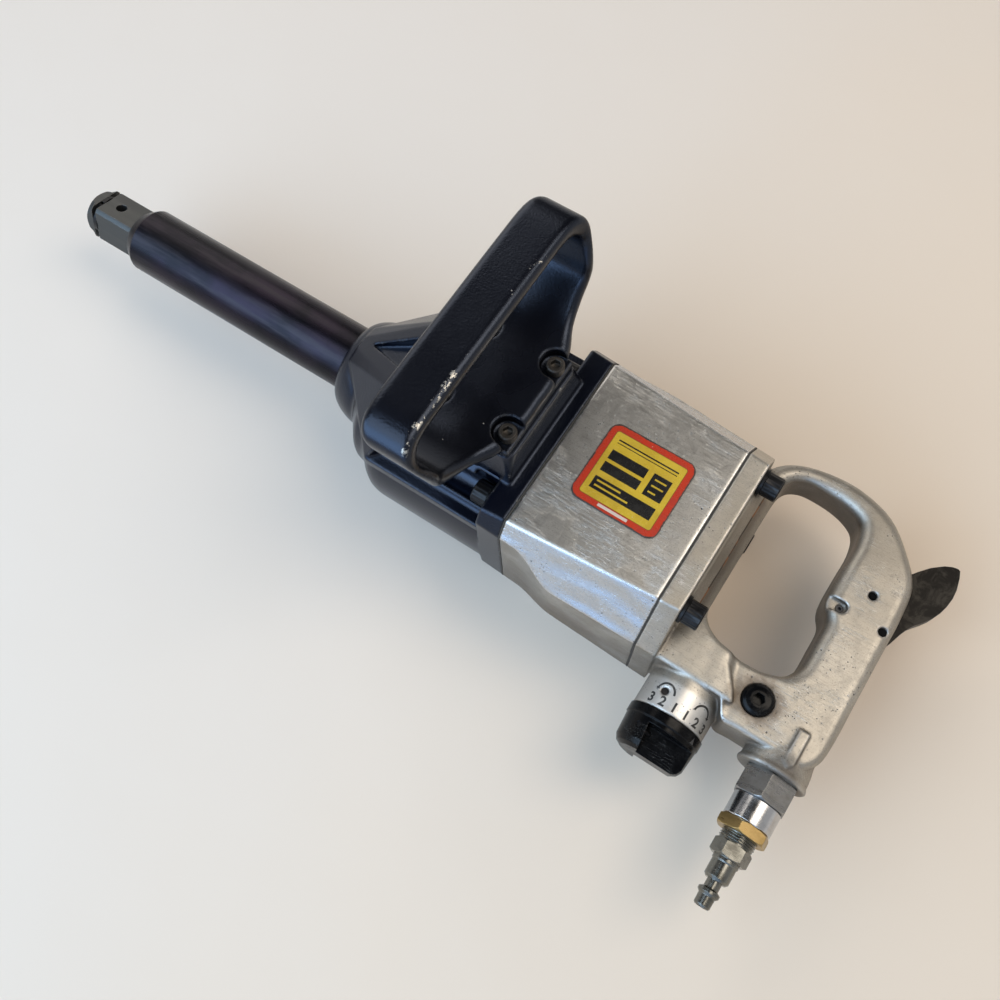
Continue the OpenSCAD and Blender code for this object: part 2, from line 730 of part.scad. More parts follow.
pilot_length_tip = 7;
ring_groove_w = 3.4;
groove_r = drive_side / 2 - 3.6;
ring_mid_x = drive_length - pilot_length_tip - ring_groove_w / 2;

module anvil() {
    half = drive_side / 2;
    shoulder_x = -7;
    color("#2a2a2d") difference() {
        union() {
            intersection() {
                rotate([drive_turn, 0, 0]) translate([-2, -half, -half])
                    cube([drive_length + 2, drive_side, drive_side]);
                x_turn([
                    [-2, 0], [-2, half * 1.3], [drive_length - pilot_length_tip, half * 1.3],
                    [drive_length - pilot_length_tip + 1.5, half * 1.16],
                    [drive_length - 2.5, half * 1.1], [drive_length, half * 0.86], [drive_length, 0]
                ]);
            }
            x_turn([
                [1.2, 0], [1.2, half * 1.02], [0, half * 1.2], [-1, half * 1.3],
                [shoulder_x, shank_d / 2 - 0.6], [shoulder_x - 1.2, shank_d / 2],
                [chamber_front_x - 1, shank_d / 2], [chamber_front_x - 1, 30],
                [chamber_front_x - 6, 30], [chamber_front_x - 6, journal_r],
                [hammer_zone_front + hammer_gap / 2, journal_r],
                [hammer_zone_front + hammer_gap / 2, core_r],
                [hammer_zone_rear - hammer_gap / 2, core_r],
                [hammer_zone_rear - hammer_gap / 2, rear_journal_r],
                [cage_rear_x + 1, rear_journal_r], [cage_rear_x + 1, 0]
            ]);
            for (k = [0, 1]) rotate([k * 180, 0, 0]) intersection() {
                x_rod(hammer_zone_front - 1 - k * (hammer_t + hammer_gap),
                    hammer_zone_front - hammer_t + 1 - k * (hammer_t + hammer_gap), core_r + 4.5);
                translate([hammer_zone_rear - 1, -5, 0]) cube([hammer_zone + 2, 10, 40]);
            }
        }
        rotate([drive_turn, 0, 0]) z_rod(-half - 2, half + 2, 3.6, drive_length / 2 - 2);
        x_ring(ring_mid_x - ring_groove_w / 2, ring_mid_x + ring_groove_w / 2, 30, groove_r);
    }
}

module drive_o_ring() {
    color("#101010") translate([ring_mid_x, 0, 0]) rotate([0, 90, 0])
        rotate_extrude() translate([groove_r + 0.95, 0]) circle(r = 0.9, $fn = 32);
}

// Split retaining ring that stands slightly proud of the flats of the square
module drive_ring() {
    color("#55565a") difference() {
        x_ring(ring_mid_x - 1.4, ring_mid_x + 1.4, drive_side / 2 + 0.5, groove_r + 1.9);
        translate([ring_mid_x - 3, -1, 0]) cube([6, 2, drive_side]);
    }
}

module nose_seal() {
    color("#141414") x_ring(nose_x - seal_length, nose_x - 0.3, bushing_r - fit_gap,
        shank_d / 2 + run_gap);
}
module nose_bushing() {
    color("#a5793c") x_ring(chamber_front_x, bushing_front_x, bushing_r, shank_d / 2 + run_gap);
}

// ---------------------------------------------------------------- hammer mechanism

module spline_outline(grow) {
    circle(r = spline_r + grow);
    for (k = [0 : spline_teeth - 1])
        rotate(k * 180 / spline_teeth)
            square([2 * (spline_r + 2.3 + grow), 4.2 + 2 * grow], center = true);
}
module x_spline(x0, x1, grow) {
    translate([x0, 0, 0]) rotate([0, 90, 0]) linear_extrude(x1 - x0) spline_outline(grow);
}

// Cage that carries the two hammers between its plates
module hammer_frame() {
    web_y = 15;
    color("#4a4b4f") difference() {
        union() {
            x_rod(cage_front_x - cage_plate_t, cage_front_x, cage_r);
            x_rod(cage_rear_x, cage_rear_x + cage_plate_t, cage_r);
            x_rod(cage_rear_x - 12, cage_rear_x, 18);
            intersection() {
                x_ring(cage_rear_x, cage_front_x, cage_r, cage_r - 5);
                translate([cage_rear_x, -web_y, -cage_r])
                    cube([cage_front_x - cage_rear_x, 2 * web_y, 2 * cage_r]);
            }
        }
        x_rod(cage_front_x - cage_plate_t - 1, cage_front_x + 1, journal_r + run_gap);
        x_rod(cage_rear_x + 0.5, cage_rear_x + cage_plate_t + 1, rear_journal_r + run_gap);
        x_spline(cage_rear_x - 13, cage_rear_x + 1, fit_gap);
        for (sy = [-1, 1])
            x_rod(cage_rear_x - 1, cage_front_x + 1, hammer_pin_r + run_gap, sy * hammer_pin_y);
    }
}

module hammer_pins() {
    color("#8d8f93") for (sy = [-1, 1])
        x_rod(cage_rear_x, cage_front_x, hammer_pin_r, sy * hammer_pin_y);
}

// Ring hammer that rocks on one pin and is notched round the other, turned about the spindle
module hammer(x0, turn) {
    rotate([turn, 0, 0]) difference() {
        union() {
            x_rod(x0, x0 + hammer_t, hammer_ring_r);
            x_rod(x0, x0 + hammer_t, 9.5, hammer_pin_y);
        }
        difference() {
            x_rod(x0 - 1, x0 + hammer_t + 1, hammer_bore_r);
            rotate([dog_turn, 0, 0]) translate([x0, 21.5, -5]) cube([hammer_t, 10, 10]);
        }
        x_rod(x0 - 1, x0 + hammer_t + 1, hammer_pin_r + run_gap, hammer_pin_y);
        x_rod(x0 - 1, x0 + hammer_t + 1, hammer_pin_r + 3.1, -hammer_pin_y);
    }
}
module front_hammer() {
    color("#5b5d62") hammer(hammer_zone_front - hammer_t, 0);
}
module rear_hammer() {
    color("#5b5d62") hammer(hammer_zone_rear, 180);
}

// ---------------------------------------------------------------- air motor

rotor_front_x = cylinder_front_x - 0.2;
rotor_rear_x = rear_plate_front_x + 0.2;

module rotor() {
    slot = vane_t + 0.2;
    color("#77797e") difference() {
        union() {
            x_rod(rotor_rear_x, rotor_front_x, rotor_r);
            x_rod(rotor_front_x - 1, housing_front_x, front_bearing_bore / 2);
            x_spline(housing_front_x - 1, cage_rear_x - 1, 0);
            x_rod(stack_rear_x + 0.5, rotor_rear_x + 1, rear_bearing_bore / 2);
        }
        for (k = [0 : vane_count - 1]) rotate([k * 360 / vane_count, 0, 0])
            translate([rotor_rear_x - 1, -slot / 2, rotor_r - vane_depth - 0.7])
                cube([rotor_front_x - rotor_rear_x + 2, slot, 30]);
    }
}

module vanes() {
    color("#6b4a2b") for (k = [0 : vane_count - 1]) rotate([k * 360 / vane_count, 0, 0])
        translate([rotor_rear_x, -vane_t / 2, rotor_r - vane_depth - 0.2])
            cube([rotor_front_x - rotor_rear_x, vane_t, vane_depth]);
}

dowel_r = 2;
dowel_y = 24;
dowel_z = -33;

module motor_cylinder() {
    color("#9a9ca0") difference() {
        x_rod(rear_plate_front_x, cylinder_front_x, stack_r);
        x_rod(rear_plate_front_x - 1, cylinder_front_x + 1, cylinder_bore_r, 0, cylinder_offset);
        x_rod(rear_plate_front_x - 1, cylinder_front_x + 1, dowel_r + fit_gap, dowel_y, dowel_z);
        for (i = [-2 : 2]) translate([(cylinder_front_x + rear_plate_front_x) / 2 + 9 * i, 0, 0])
            z_rod(-50, -20, 3);
    }
}
module cylinder_dowel() {
    color("#c8c9cc") x_rod(rear_plate_front_x - 8, cylinder_front_x + 8, dowel_r, dowel_y, dowel_z);
}

module front_end_plate() {
    color("#8f9195") difference() {
        x_ring(cylinder_front_x, stack_front_x, stack_r, 16);
        x_rod(stack_front_x - front_bearing_w, stack_front_x + 1, front_bearing_od / 2 + bearing_gap);
        x_rod(cylinder_front_x - 1, cylinder_front_x + 8.5, dowel_r + fit_gap, dowel_y, dowel_z);
    }
}
module rear_end_plate() {
    color("#8f9195") difference() {
        x_ring(stack_rear_x, rear_plate_front_x, stack_r, 13);
        x_rod(stack_rear_x - 1, stack_rear_x + rear_bearing_w, rear_bearing_od / 2 + bearing_gap);
        x_rod(rear_plate_front_x + 1, rear_plate_front_x - 8.5, dowel_r + fit_gap, dowel_y, dowel_z);
    }
}

front_track_r = (front_bearing_bore + front_bearing_od) / 4;
front_ball_r = 4;
front_bearing_x = stack_front_x - front_bearing_w;
module front_bearing_outer() {
    color("#a7a9ad") bearing_ring(front_bearing_x, front_bearing_w, front_track_r + 2.4,
        front_bearing_od / 2, front_track_r, front_ball_r);
}
module front_bearing_balls() {
    color("#d6d7da") bearing_balls(front_bearing_x, front_bearing_w, front_track_r, front_ball_r, 9);
}
module front_bearing_inner() {
    color("#a7a9ad") bearing_ring(front_bearing_x, front_bearing_w,
        front_bearing_bore / 2 + bearing_gap, front_track_r - 2.4, front_track_r, front_ball_r);
}

rear_track_r = (rear_bearing_bore + rear_bearing_od) / 4;
rear_ball_r = 4;
module rear_bearing_outer() {
    color("#a7a9ad") bearing_ring(stack_rear_x, rear_bearing_w, rear_track_r + 2.4,
        rear_bearing_od / 2, rear_track_r, rear_ball_r);
}
module rear_bearing_balls() {
    color("#d6d7da") bearing_balls(stack_rear_x, rear_bearing_w, rear_track_r, rear_ball_r, 8);
}
module rear_bearing_inner() {
    color("#a7a9ad") bearing_ring(stack_rear_x, rear_bearing_w,
        rear_bearing_bore / 2 + bearing_gap, rear_track_r - 2.4, rear_track_r, rear_ball_r);
}

// ---------------------------------------------------------------- screws

module side_handle_screws() {
    color("#1f1f21") handle_screw_places() translate([0, 0, ear_top_z - 1])
        cap_screw(handle_screw_d, handle_screw_head_d, handle_screw_head_h, 17, 5);
}
module front_cap_screws() {
    color("#1f1f21") front_bolt_places() translate([flange_x + washer_t, 0, 0])
        rotate([0, 90, 0]) cap_screw(cap_screw_d, cap_head_d, cap_head_h, 36, cap_hex);
}
module rear_cap_screws() {
    color("#1f1f21") rear_bolt_places() translate([backhead_rear_x - washer_t, 0, 0])
        rotate([0, -90, 0]) cap_screw(cap_screw_d, cap_head_d, cap_head_h, 52, cap_hex);
}
// Split spring washers under the front screws, plain washers under the rear ones
module front_washers() {
    color("#2b2b2e") front_bolt_places() difference() {
        x_ring(flange_x, flange_x + washer_t, cap_head_d / 2, cap_screw_d / 2 + 0.2);
        translate([flange_x - 1, -0.6, 0]) cube([washer_t + 2, 1.2, 10]);
    }
}
module rear_washers() {
    color("#2b2b2e") rear_bolt_places()
        x_ring(backhead_rear_x - washer_t, backhead_rear_x, washer_d / 2, cap_screw_d / 2 + 0.2);
}

// ---------------------------------------------------------------- reverse valve and knob

valve_body_r = valve_r - run_gap;
valve_end_y = valve_boss_y - 0.6;
neck_step_y = knob_y + 3;
neck_end_y = knob_y + 15;
neck_tip_r = 4.5;

module reverse_sleeve() {
    color("#b08a4a") difference() {
        y_ring(valve_front_y, valve_end_y, valve_r + valve_wall, valve_r, valve_x);
        air_drillings();
        x_rod(detent_x - detent_r, detent_x + 10, detent_r + 0.1, detent_y);
        z_rod(-14, 30, valve_pin_r + fit_gap, valve_pin_x, valve_pin_y);
    }
}

module reverse_valve() {
    color("#c9cacc") difference() {
        y_turn([
            [valve_front_y + 0.3, 0], [valve_front_y + 0.3, valve_body_r],
            [68.7, valve_body_r], [68.7, 11.8], [71.3, 11.8], [71.3, valve_body_r],
            [valve_pin_y - 2.4, valve_body_r], [valve_pin_y - 2.4, valve_neck_r],
            [valve_pin_y + 2.4, valve_neck_r], [valve_pin_y + 2.4, valve_body_r],
            [84.2, valve_body_r], [84.2, 11.8], [86.8, 11.8], [86.8, valve_body_r],
            [valve_end_y, valve_body_r], [valve_end_y, valve_neck_r],
            [neck_step_y, valve_neck_r], [neck_step_y, neck_tip_r],
            [neck_end_y, neck_tip_r], [neck_end_y, 0]
        ], valve_x);
        y_rod(valve_front_y - 1, passage_y + passage_r + 1, 8.5, valve_x);
        translate([valve_x - 20, passage_y - passage_r, -12]) cube([14, 2 * passage_r, 24]);
        x_rod(valve_x, valve_x + 20, port_r, passage_y);
        knob_pin_bar(-knob_pin_inner_r - 0.5, 10, knob_pin_r + fit_gap);
    }
}
module reverse_o_rings() {
    color("#101010") for (y = [70, 85.5]) translate([valve_x, y, 0]) rotate([90, 0, 0])
        rotate_extrude() translate([12.85, 0]) circle(r = 1.02, $fn = 32);
}
module valve_pin() {
    color("#8d8f93") z_rod(-13.5, 17, valve_pin_r, valve_pin_x, valve_pin_y);
}
module detent_ball() {
    color("#d6d7da") translate([detent_x, detent_y, 0]) sphere(r = detent_r);
}
module detent_spring() {
    start_x = detent_x + detent_r;
    color("#9b9da1") translate([start_x, detent_y, 0]) rotate([0, 90, 0])
        coil_spring(1.9, 0.45, backhead_x - start_x, 8, 6, 12);
}

// Pin across the neck from the full side of the knob, between two radii
module knob_pin_bar(r0, r1, r) {
    translate([valve_x, knob_pin_y, 0]) rotate([0, 90 - knob_pin_turn, 0])
        translate([0, 0, r0]) cylinder(h = r1 - r0, r = r);
}
module reverse_knob() {
    r = knob_d / 2;
    y0 = knob_y;
    wing_y = y0 + knob_ring_w;
    color("#151517") difference() {
        y_turn([
            [y0, 0], [y0, r], [wing_y - 3, r], [wing_y - 2.4, r - 0.6],
            [knob_grip_y - 4.5, r - 1.6], [knob_grip_y - 1.6, r - 3.2],
            [knob_grip_y, r - 6], [knob_grip_y, 0]
        ], valve_x);
        for (side = [0, 1]) mirror([0, 0, side]) hull() {
            translate([valve_x - 40, wing_y, 8.6]) cube([48, 0.1, 40]);
            translate([valve_x - 40, knob_grip_y + 1, 5.2]) cube([46, 0.1, 40]);
        }
        y_rod(y0 - 1, neck_step_y + 0.3, valve_neck_r + fit_gap, valve_x);
        y_rod(y0 - 1, neck_end_y + 0.5, neck_tip_r + fit_gap, valve_x);
        knob_pin_bar(-knob_pin_inner_r - 0.5, r + 5, knob_pin_r + fit_gap);
    }
}
module knob_pin() {
    color("#9b9da1") knob_pin_bar(-knob_pin_inner_r, knob_d / 2 - 1.6, knob_pin_r);
}

// Domed plug in the crossing drilling
module passage_plug() {
    rim_z = grip_half_z + 1.4;
    color("#1a1a1c") difference() {
        translate([plug_x, passage_y, 0]) rotate_extrude() polygon([
            [0, passage_r], [plug_r, passage_r], [plug_r, rim_z], [plug_r - 0.5, rim_z + 1],
            [plug_r - 2, rim_z + 2], [plug_r - 4.2, rim_z + 2.5], [0, rim_z + 2.7]
        ]);
        z_hex(rim_z - 3, rim_z + 4, 6, plug_x, passage_y);
    }
}

// ---------------------------------------------------------------- trigger and throttle

// Outline of the lever: grip blade outside, short arm to the throttle stem inside
module trigger() {
    g = grip_rear_x;
    color("#3b3a3a") translate([0, 0, -lever_t / 2]) difference() {
        linear_extrude(lever_t) polygon([
            [inlet_x - 1, stem_front_y - free_gap], [inlet_x + 1, stem_front_y - free_gap],
            [inlet_x + 3.5, stem_front_y - 1.8], [inlet_x + 4.5, -5], [inlet_x + 2, -9.5],
            [trigger_x + stop_edge, -16], [trigger_x + stop_edge, -30],
            [g + 11.5, -42], [g + 8, -53], [g + 3, -60], [g - 2, -66], [g - 8, -71],
            [g - 12, -73], [g - 15, -73.6], [g - 16.5, -73], [g - 18, -69], [g - 19.5, -62],
            [g - 19.8, -56], [g - 19, -50], [g - 17.5, -44.5], [g - 15, -39], [g - 12, -34.5],
            [g - 9.5, -31.5], [g - 7, -28], [g - 4.5, -22], [g - 2, -14], [g + 0.8, -8.5],
            [g + 5, -5.2], [g + 12, -3.4]
        ]);
        z_rod(-1, lever_t + 1, pin_d / 2 + run_gap, trigger_x, trigger_y);
    }
}
module trigger_pin() {
    color("#2b2b2d") z_rod(-grip_half_z + 2, grip_half_z - 2, pin_d / 2, trigger_x, trigger_y);
}
module stop_pin() {
    color("#2b2b2d") z_rod(-grip_half_z + 2, grip_half_z - 2, pin_d / 2, stop_x, stop_y);
}
module guide_screw() {
    color("#2b2b2d") difference() {
        z_rod(5, grip_half_z - 4.6, 2, opening_rear_x - 9, trigger_y - 0.6);
        z_hex(grip_half_z - 6.6, grip_half_z - 4, 2, opening_rear_x - 9, trigger_y - 0.6);
    }
}

module throttle_valve() {
    color("#b9bbbe") y_turn([
        [stem_front_y, 0], [stem_front_y, stem_r - 0.6], [stem_front_y + 0.6, stem_r],
        [seat_y + seat_t - 2, stem_r], [seat_y + seat_t + 0.05, 5.5],
        [seat_y + seat_t + 0.05, head_r], [seat_y + seat_t + head_t, head_r],
        [seat_y + seat_t + head_t, 0]
    ], inlet_x);
}
module throttle_guide() {
    color("#b08a4a") y_ring(guide_y, guide_y + guide_length, guide_r, stem_r + run_gap, inlet_x);
}
module throttle_seat() {
    color("#b08a4a") y_ring(seat_y, seat_y + seat_t, seat_r, 6, inlet_x);
}
module throttle_spring() {
    y0 = seat_y + seat_t + head_t;
    color("#9b9da1") translate([inlet_x, y0, 0]) rotate([-90, 0, 0])
        coil_spring(6.6, 0.6, thread_y - y0, 2, 8, 20);
}

// ---------------------------------------------------------------- air inlet

bushing_end_y = boss_end_y + 15.2;
sleeve_end_y = bushing_end_y + 13.8;
reducer_end_y = sleeve_end_y + 6.2;
coupling_r = 11.45;
coupling_mid_y = bushing_end_y + 7;
plug_thread_r = 9.2;
plug_thread_y = sleeve_end_y - 4;
plug_hex_y = reducer_end_y + 5.4;
plug_hex_w = 8.5;

// Hexagon along Y with turned-down corners at both ends
module y_nut(y0, y1, af, x) {
    r = af / 2 / cos(30);
    intersection() {
        y_hex(y0, y1, af, x);
        y_turn([[y0, 0], [y0, r - 1.6], [y0 + 1, r], [y1 - 1, r], [y1, r - 1.6], [y1, 0]], x);
    }
}

module inlet_bushing() {
    color("#8a8b8e") difference() {
        union() {
            y_nut(boss_end_y, bushing_end_y, bushing_af, inlet_x);
            y_rod(thread_y, boss_end_y + 1, thread_r, inlet_x);
            y_rod(bushing_end_y - 1, coupling_mid_y, coupling_r, inlet_x);
        }
        y_rod(thread_y - 1, thread_y + 6, 5.5, inlet_x);
        y_rod(thread_y + 5, coupling_mid_y + 1, 8, inlet_x);
    }
}
module inlet_screen() {
    color("#c9cacc") y_turn([
        [thread_y + 7, 0], [thread_y + 7, 5], [thread_y + 20, 7.9], [thread_y + 21, 7.9],
        [thread_y + 21, 7.2], [thread_y + 8, 4.4], [thread_y + 8, 0]
    ], inlet_x);
}
module inlet_sleeve() {
    r = sleeve_d / 2;
    color("#d4d6d9") difference() {
        y_turn([
            [bushing_end_y, 0], [bushing_end_y, r - 0.5], [bushing_end_y + 0.5, r],
            [sleeve_end_y - 0.8, r], [sleeve_end_y, r - 0.8], [sleeve_end_y, 0]
        ], inlet_x);
        y_rod(bushing_end_y - 1, sleeve_end_y + 1, coupling_r + fit_gap, inlet_x);
    }
}
module inlet_reducer() {
    color("#c8963c") difference() {
        union() {
            y_nut(sleeve_end_y, reducer_end_y, reducer_af, inlet_x);
            y_rod(coupling_mid_y + 0.3, sleeve_end_y + 1, coupling_r, inlet_x);
        }
        y_rod(coupling_mid_y - 1, reducer_end_y + 1, plug_thread_r + fit_gap, inlet_x);
    }
}

// Plug nipple: pipe thread, hexagon, body and the grooved coupling end
plug_body_y = plug_hex_y + plug_hex_w;
module air_plug() {
    y = plug_body_y;
    color("#c0c2c4") difference() {
        union() {
            y_rod(plug_thread_y, plug_hex_y + 1, plug_thread_r, inlet_x);
            y_nut(plug_hex_y, plug_body_y, plug_af, inlet_x);
            y_turn([
                [y - 1, 0], [y - 1, 7.4], [y + 2, 7.4], [y + 2.6, 6.9], [y + 11, 6.9],
                [y + 12.4, 5.6], [y + 12.4, 4.1], [y + 16.8, 4.1], [y + 18, 6],
                [y + 19.6, 6], [y + 21, 4.6], [y + 26.2, 4.5], [y + 27, 3.8], [y + 27, 0]
            ], inlet_x);
        }
        y_rod(plug_thread_y - 1, y + 28, 2.9, inlet_x);
    }
}

// ---------------------------------------------------------------- assembly

anvil();
drive_o_ring();
drive_ring();
nose_seal();
nose_bushing();
hammer_case();
side_handle();
side_handle_screws();
front_cap_screws();
front_washers();
front_gasket();
hammer_frame();
hammer_pins();
front_hammer();
rear_hammer();
motor_housing();
label_plate();
rotor();
vanes();
motor_cylinder();
cylinder_dowel();
front_end_plate();
rear_end_plate();
front_bearing_outer();
front_bearing_balls();
front_bearing_inner();
rear_bearing_outer();
rear_bearing_balls();
rear_bearing_inner();
rear_gasket();
handle_casting();
rear_cap_screws();
rear_washers();
reverse_sleeve();
reverse_valve();
reverse_o_rings();
valve_pin();
detent_ball();
detent_spring();
reverse_knob();
knob_pin();
passage_plug();
trigger();
trigger_pin();
stop_pin();
throttle_valve();
throttle_guide();
throttle_seat();
throttle_spring();
guide_screw();
inlet_bushing();
inlet_screen();
inlet_sleeve();
inlet_reducer();
air_plug();
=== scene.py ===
import bpy
import bmesh
import json
import math
import numpy as np
from mathutils import Matrix, Vector


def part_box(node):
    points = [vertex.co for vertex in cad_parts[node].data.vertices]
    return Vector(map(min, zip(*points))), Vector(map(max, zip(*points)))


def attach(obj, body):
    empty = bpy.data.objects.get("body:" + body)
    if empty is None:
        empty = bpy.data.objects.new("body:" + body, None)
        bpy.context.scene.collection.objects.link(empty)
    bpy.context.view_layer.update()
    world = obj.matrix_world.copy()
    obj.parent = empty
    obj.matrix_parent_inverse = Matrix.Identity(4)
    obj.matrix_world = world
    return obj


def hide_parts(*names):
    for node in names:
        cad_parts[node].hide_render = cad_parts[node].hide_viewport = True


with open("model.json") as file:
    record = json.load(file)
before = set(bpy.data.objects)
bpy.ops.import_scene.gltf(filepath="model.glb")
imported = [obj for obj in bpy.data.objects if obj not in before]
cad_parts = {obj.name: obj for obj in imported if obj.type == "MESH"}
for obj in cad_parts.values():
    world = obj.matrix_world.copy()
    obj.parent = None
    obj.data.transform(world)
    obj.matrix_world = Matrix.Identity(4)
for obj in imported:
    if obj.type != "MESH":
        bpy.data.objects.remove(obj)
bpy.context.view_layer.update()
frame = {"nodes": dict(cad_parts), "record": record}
NODES = frame["nodes"]
MM = 0.001


def span(node):
    """Lowest and highest corner of a CAD node, as two vectors in metres."""
    low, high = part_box(node)
    return Vector(low), Vector(high)


# Places on the tool that several pieces and finishes share
CASE_LOW, CASE_HIGH = span("hammer_case")
HOUSING_LOW, HOUSING_HIGH = span("motor_housing")
LOOP_LOW, LOOP_HIGH = span("side_handle")
LABEL_LOW, LABEL_HIGH = span("label_plate")
KNOB_LOW, KNOB_HIGH = span("reverse_knob")
PLUG_LOW, PLUG_HIGH = span("air_plug")
CAP_LOW, CAP_HIGH = span("passage_plug")
HANDLE_FRONT = span("handle_casting")[1].x
INLET_END = span("handle_casting")[1].y
SEAM_FRONT = HOUSING_HIGH.x
SEAM_REAR = HOUSING_LOW.x
# Rear wall behind the housing, 5.5 mm in from the ends of the rear screws, and its line of oil
BACK_WALL_X = span("rear_cap_screws")[0].x + 5.5 * MM
OIL_LINE_Z = 31 * MM
DIAL_X = (KNOB_LOW.x + KNOB_HIGH.x) / 2
DIAL_R = 21 * MM
INLET_X = (PLUG_LOW.x + PLUG_HIGH.x) / 2


# ---------------------------------------------------------------- node trees

class Net:
    """A node tree in the making. Each call adds a node and returns its output socket."""

    def __init__(self, owner, coordinates):
        owner.use_nodes = True
        self.tree = owner.node_tree
        self.at = self.add("ShaderNodeTexCoord")[coordinates]

    def feed(self, socket, value):
        """Links a socket to an output, or sets it to a plain value."""
        if isinstance(value, bpy.types.NodeSocket):
            self.tree.links.new(value, socket)
        else:
            socket.default_value = value

    def add(self, kind, inputs=None, **settings):
        node = self.tree.nodes.new(kind)
        for key, value in settings.items():
            setattr(node, key, value)
        for key, value in (inputs or {}).items():
            self.feed(node.inputs[key], value)
        return node.outputs

    def math(self, operation, a, b=0.0, clamp=False):
        return self.add("ShaderNodeMath", {0: a, 1: b}, operation=operation, use_clamp=clamp)[0]

    def chain(self, operation, values):
        """One operation over any number of values."""
        out = values[0]
        for value in values[1:]:
            out = self.math(operation, out, value)
        return out

    def plus(self, *terms):
        return self.chain("ADD", terms)

    def times(self, *factors):
        return self.chain("MULTIPLY", factors)

    def most(self, *values):
        return self.chain("MAXIMUM", values)

    def minus(self, a, b):
        return self.math("SUBTRACT", a, b)

    def size(self, value):
        return self.math("ABSOLUTE", value)

    def gap(self, a, b):
        """How far two values are apart."""
        return self.size(self.minus(a, b))

    def ramp(self, x, start, end, low=0.0, high=1.0):
        """Smooth step from low at start to high at end."""
        inputs = {"Value": x, "From Min": start, "From Max": end, "To Min": low, "To Max": high}
        return self.add("ShaderNodeMapRange", inputs, interpolation_type="SMOOTHSTEP")["Result"]

    def mix(self, share, a, b):
        """Colour a, with a share of colour b over it."""
        return self.add("ShaderNodeMix", {0: share, 6: a, 7: b}, data_type="RGBA")[2]

    def xyz(self, vector=None):
        return self.add("ShaderNodeSeparateXYZ", {0: vector or self.at})[:3]

    def measure(self, operation, a, b):
        """Distance or dot product of two vectors."""
        return self.add("ShaderNodeVectorMath", {0: a, 1: b}, operation=operation)["Value"]


class Finish(Net):
    """The node tree of one material."""

    def __init__(self, name):
        self.mat = bpy.data.materials.new(name)
        super().__init__(self.mat, "Object")
        self.shader = self.tree.nodes["Principled BSDF"]
        self.flat = self.add("ShaderNodeNewGeometry")["True Normal"]

    def stretch(self, x, y, z, turn=(0, 0, 0)):
        """Turned and scaled texture coordinates, for marks drawn out in one direction."""
        inputs = {"Vector": self.at, "Scale": (x, y, z), "Rotation": turn}
        return self.add("ShaderNodeMapping", inputs)["Vector"]

    def noise(self, scale, detail=2.0, rough=0.5, at=None, warp=0.0):
        inputs = {"Vector": at or self.at, "Scale": scale, "Detail": detail,
                  "Roughness": rough, "Distortion": warp}
        return self.add("ShaderNodeTexNoise", inputs)["Fac"]

    def spots(self, scale, radius, share, at=None):
        """Round spots in a share of the cells; radius is in cells."""
        cells = self.add("ShaderNodeTexVoronoi", {"Vector": at or self.at, "Scale": scale})
        near = self.ramp(cells["Distance"], radius, radius * 0.5)
        chance = self.add("ShaderNodeSeparateColor", {"Color": cells["Color"]})[0]
        return self.times(near, self.math("GREATER_THAN", chance, 1 - share))

    def scratches(self, along, across, width, turn, patch_scale=25):
        """Thin broken lines: the middle values of a noise drawn out in one direction."""
        drawn = self.noise(1.0, 1.0, 0.5, at=self.stretch(along, across, across, turn))
        line = self.ramp(self.gap(drawn, 0.5), width, width * 0.3)
        return self.times(line, self.ramp(self.noise(patch_scale, 3), 0.5, 0.62))

    def near(self, value, place, width):
        """1 at a place on an axis, falling to 0 a width away."""
        return self.ramp(self.gap(value, place), width, width * 0.15)

    def round_normal(self, radius):
        return self.add("ShaderNodeBevel", {"Radius": radius}, samples=4)["Normal"]

    def pointiness(self):
        return self.add("ShaderNodeNewGeometry")["Pointiness"]

    def edge(self, soft, dense=False):
        """1 on edges that the softened normal rounds off, and on the bends of a dense mesh."""
        sharp = self.ramp(self.measure("DOT_PRODUCT", soft, self.flat), 0.995, 0.80)
        if not dense:
            return sharp
        return self.most(sharp, self.ramp(self.pointiness(), 0.508, 0.535))

    def crevice(self, reach):
        """1 where walls close in on each other, as in corners and round seated screws."""
        sky = self.add("ShaderNodeAmbientOcclusion", {"Distance": reach}, samples=4)["AO"]
        hollow = self.ramp(self.pointiness(), 0.493, 0.472)
        return self.most(self.ramp(sky, 0.86, 0.50), self.times(hollow, 0.7))

    def ragged(self, amount, scale=700):
        """Texture coordinates shaken by a fine noise, for spots with an uneven rim."""
        inputs = {"Vector": self.at, "Scale": scale, "Detail": 2.0}
        shake = self.add("ShaderNodeTexNoise", inputs)["Color"]
        inputs = {0: shake, 1: (amount, amount, amount), 2: self.at}
        return self.add("ShaderNodeVectorMath", inputs, operation="MULTIPLY_ADD")[0]

    def bump(self, height, depth, normal):
        inputs = {"Height": height, "Distance": depth, "Strength": 1.0, "Normal": normal}
        return self.add("ShaderNodeBump", inputs)["Normal"]

    def done(self, **values):
        """Feeds the shader's sockets and hands over the material."""
        for key, value in values.items():
            self.feed(self.shader.inputs[key.replace("_", " ")], value)
        return self.mat


def scaled(colour, factor, offset=0.0, limit=1.0):
    """A colour made lighter or darker."""
    return tuple(min(value * factor + offset, limit) for value in colour[:3]) + (1,)


# ---------------------------------------------------------------- finishes

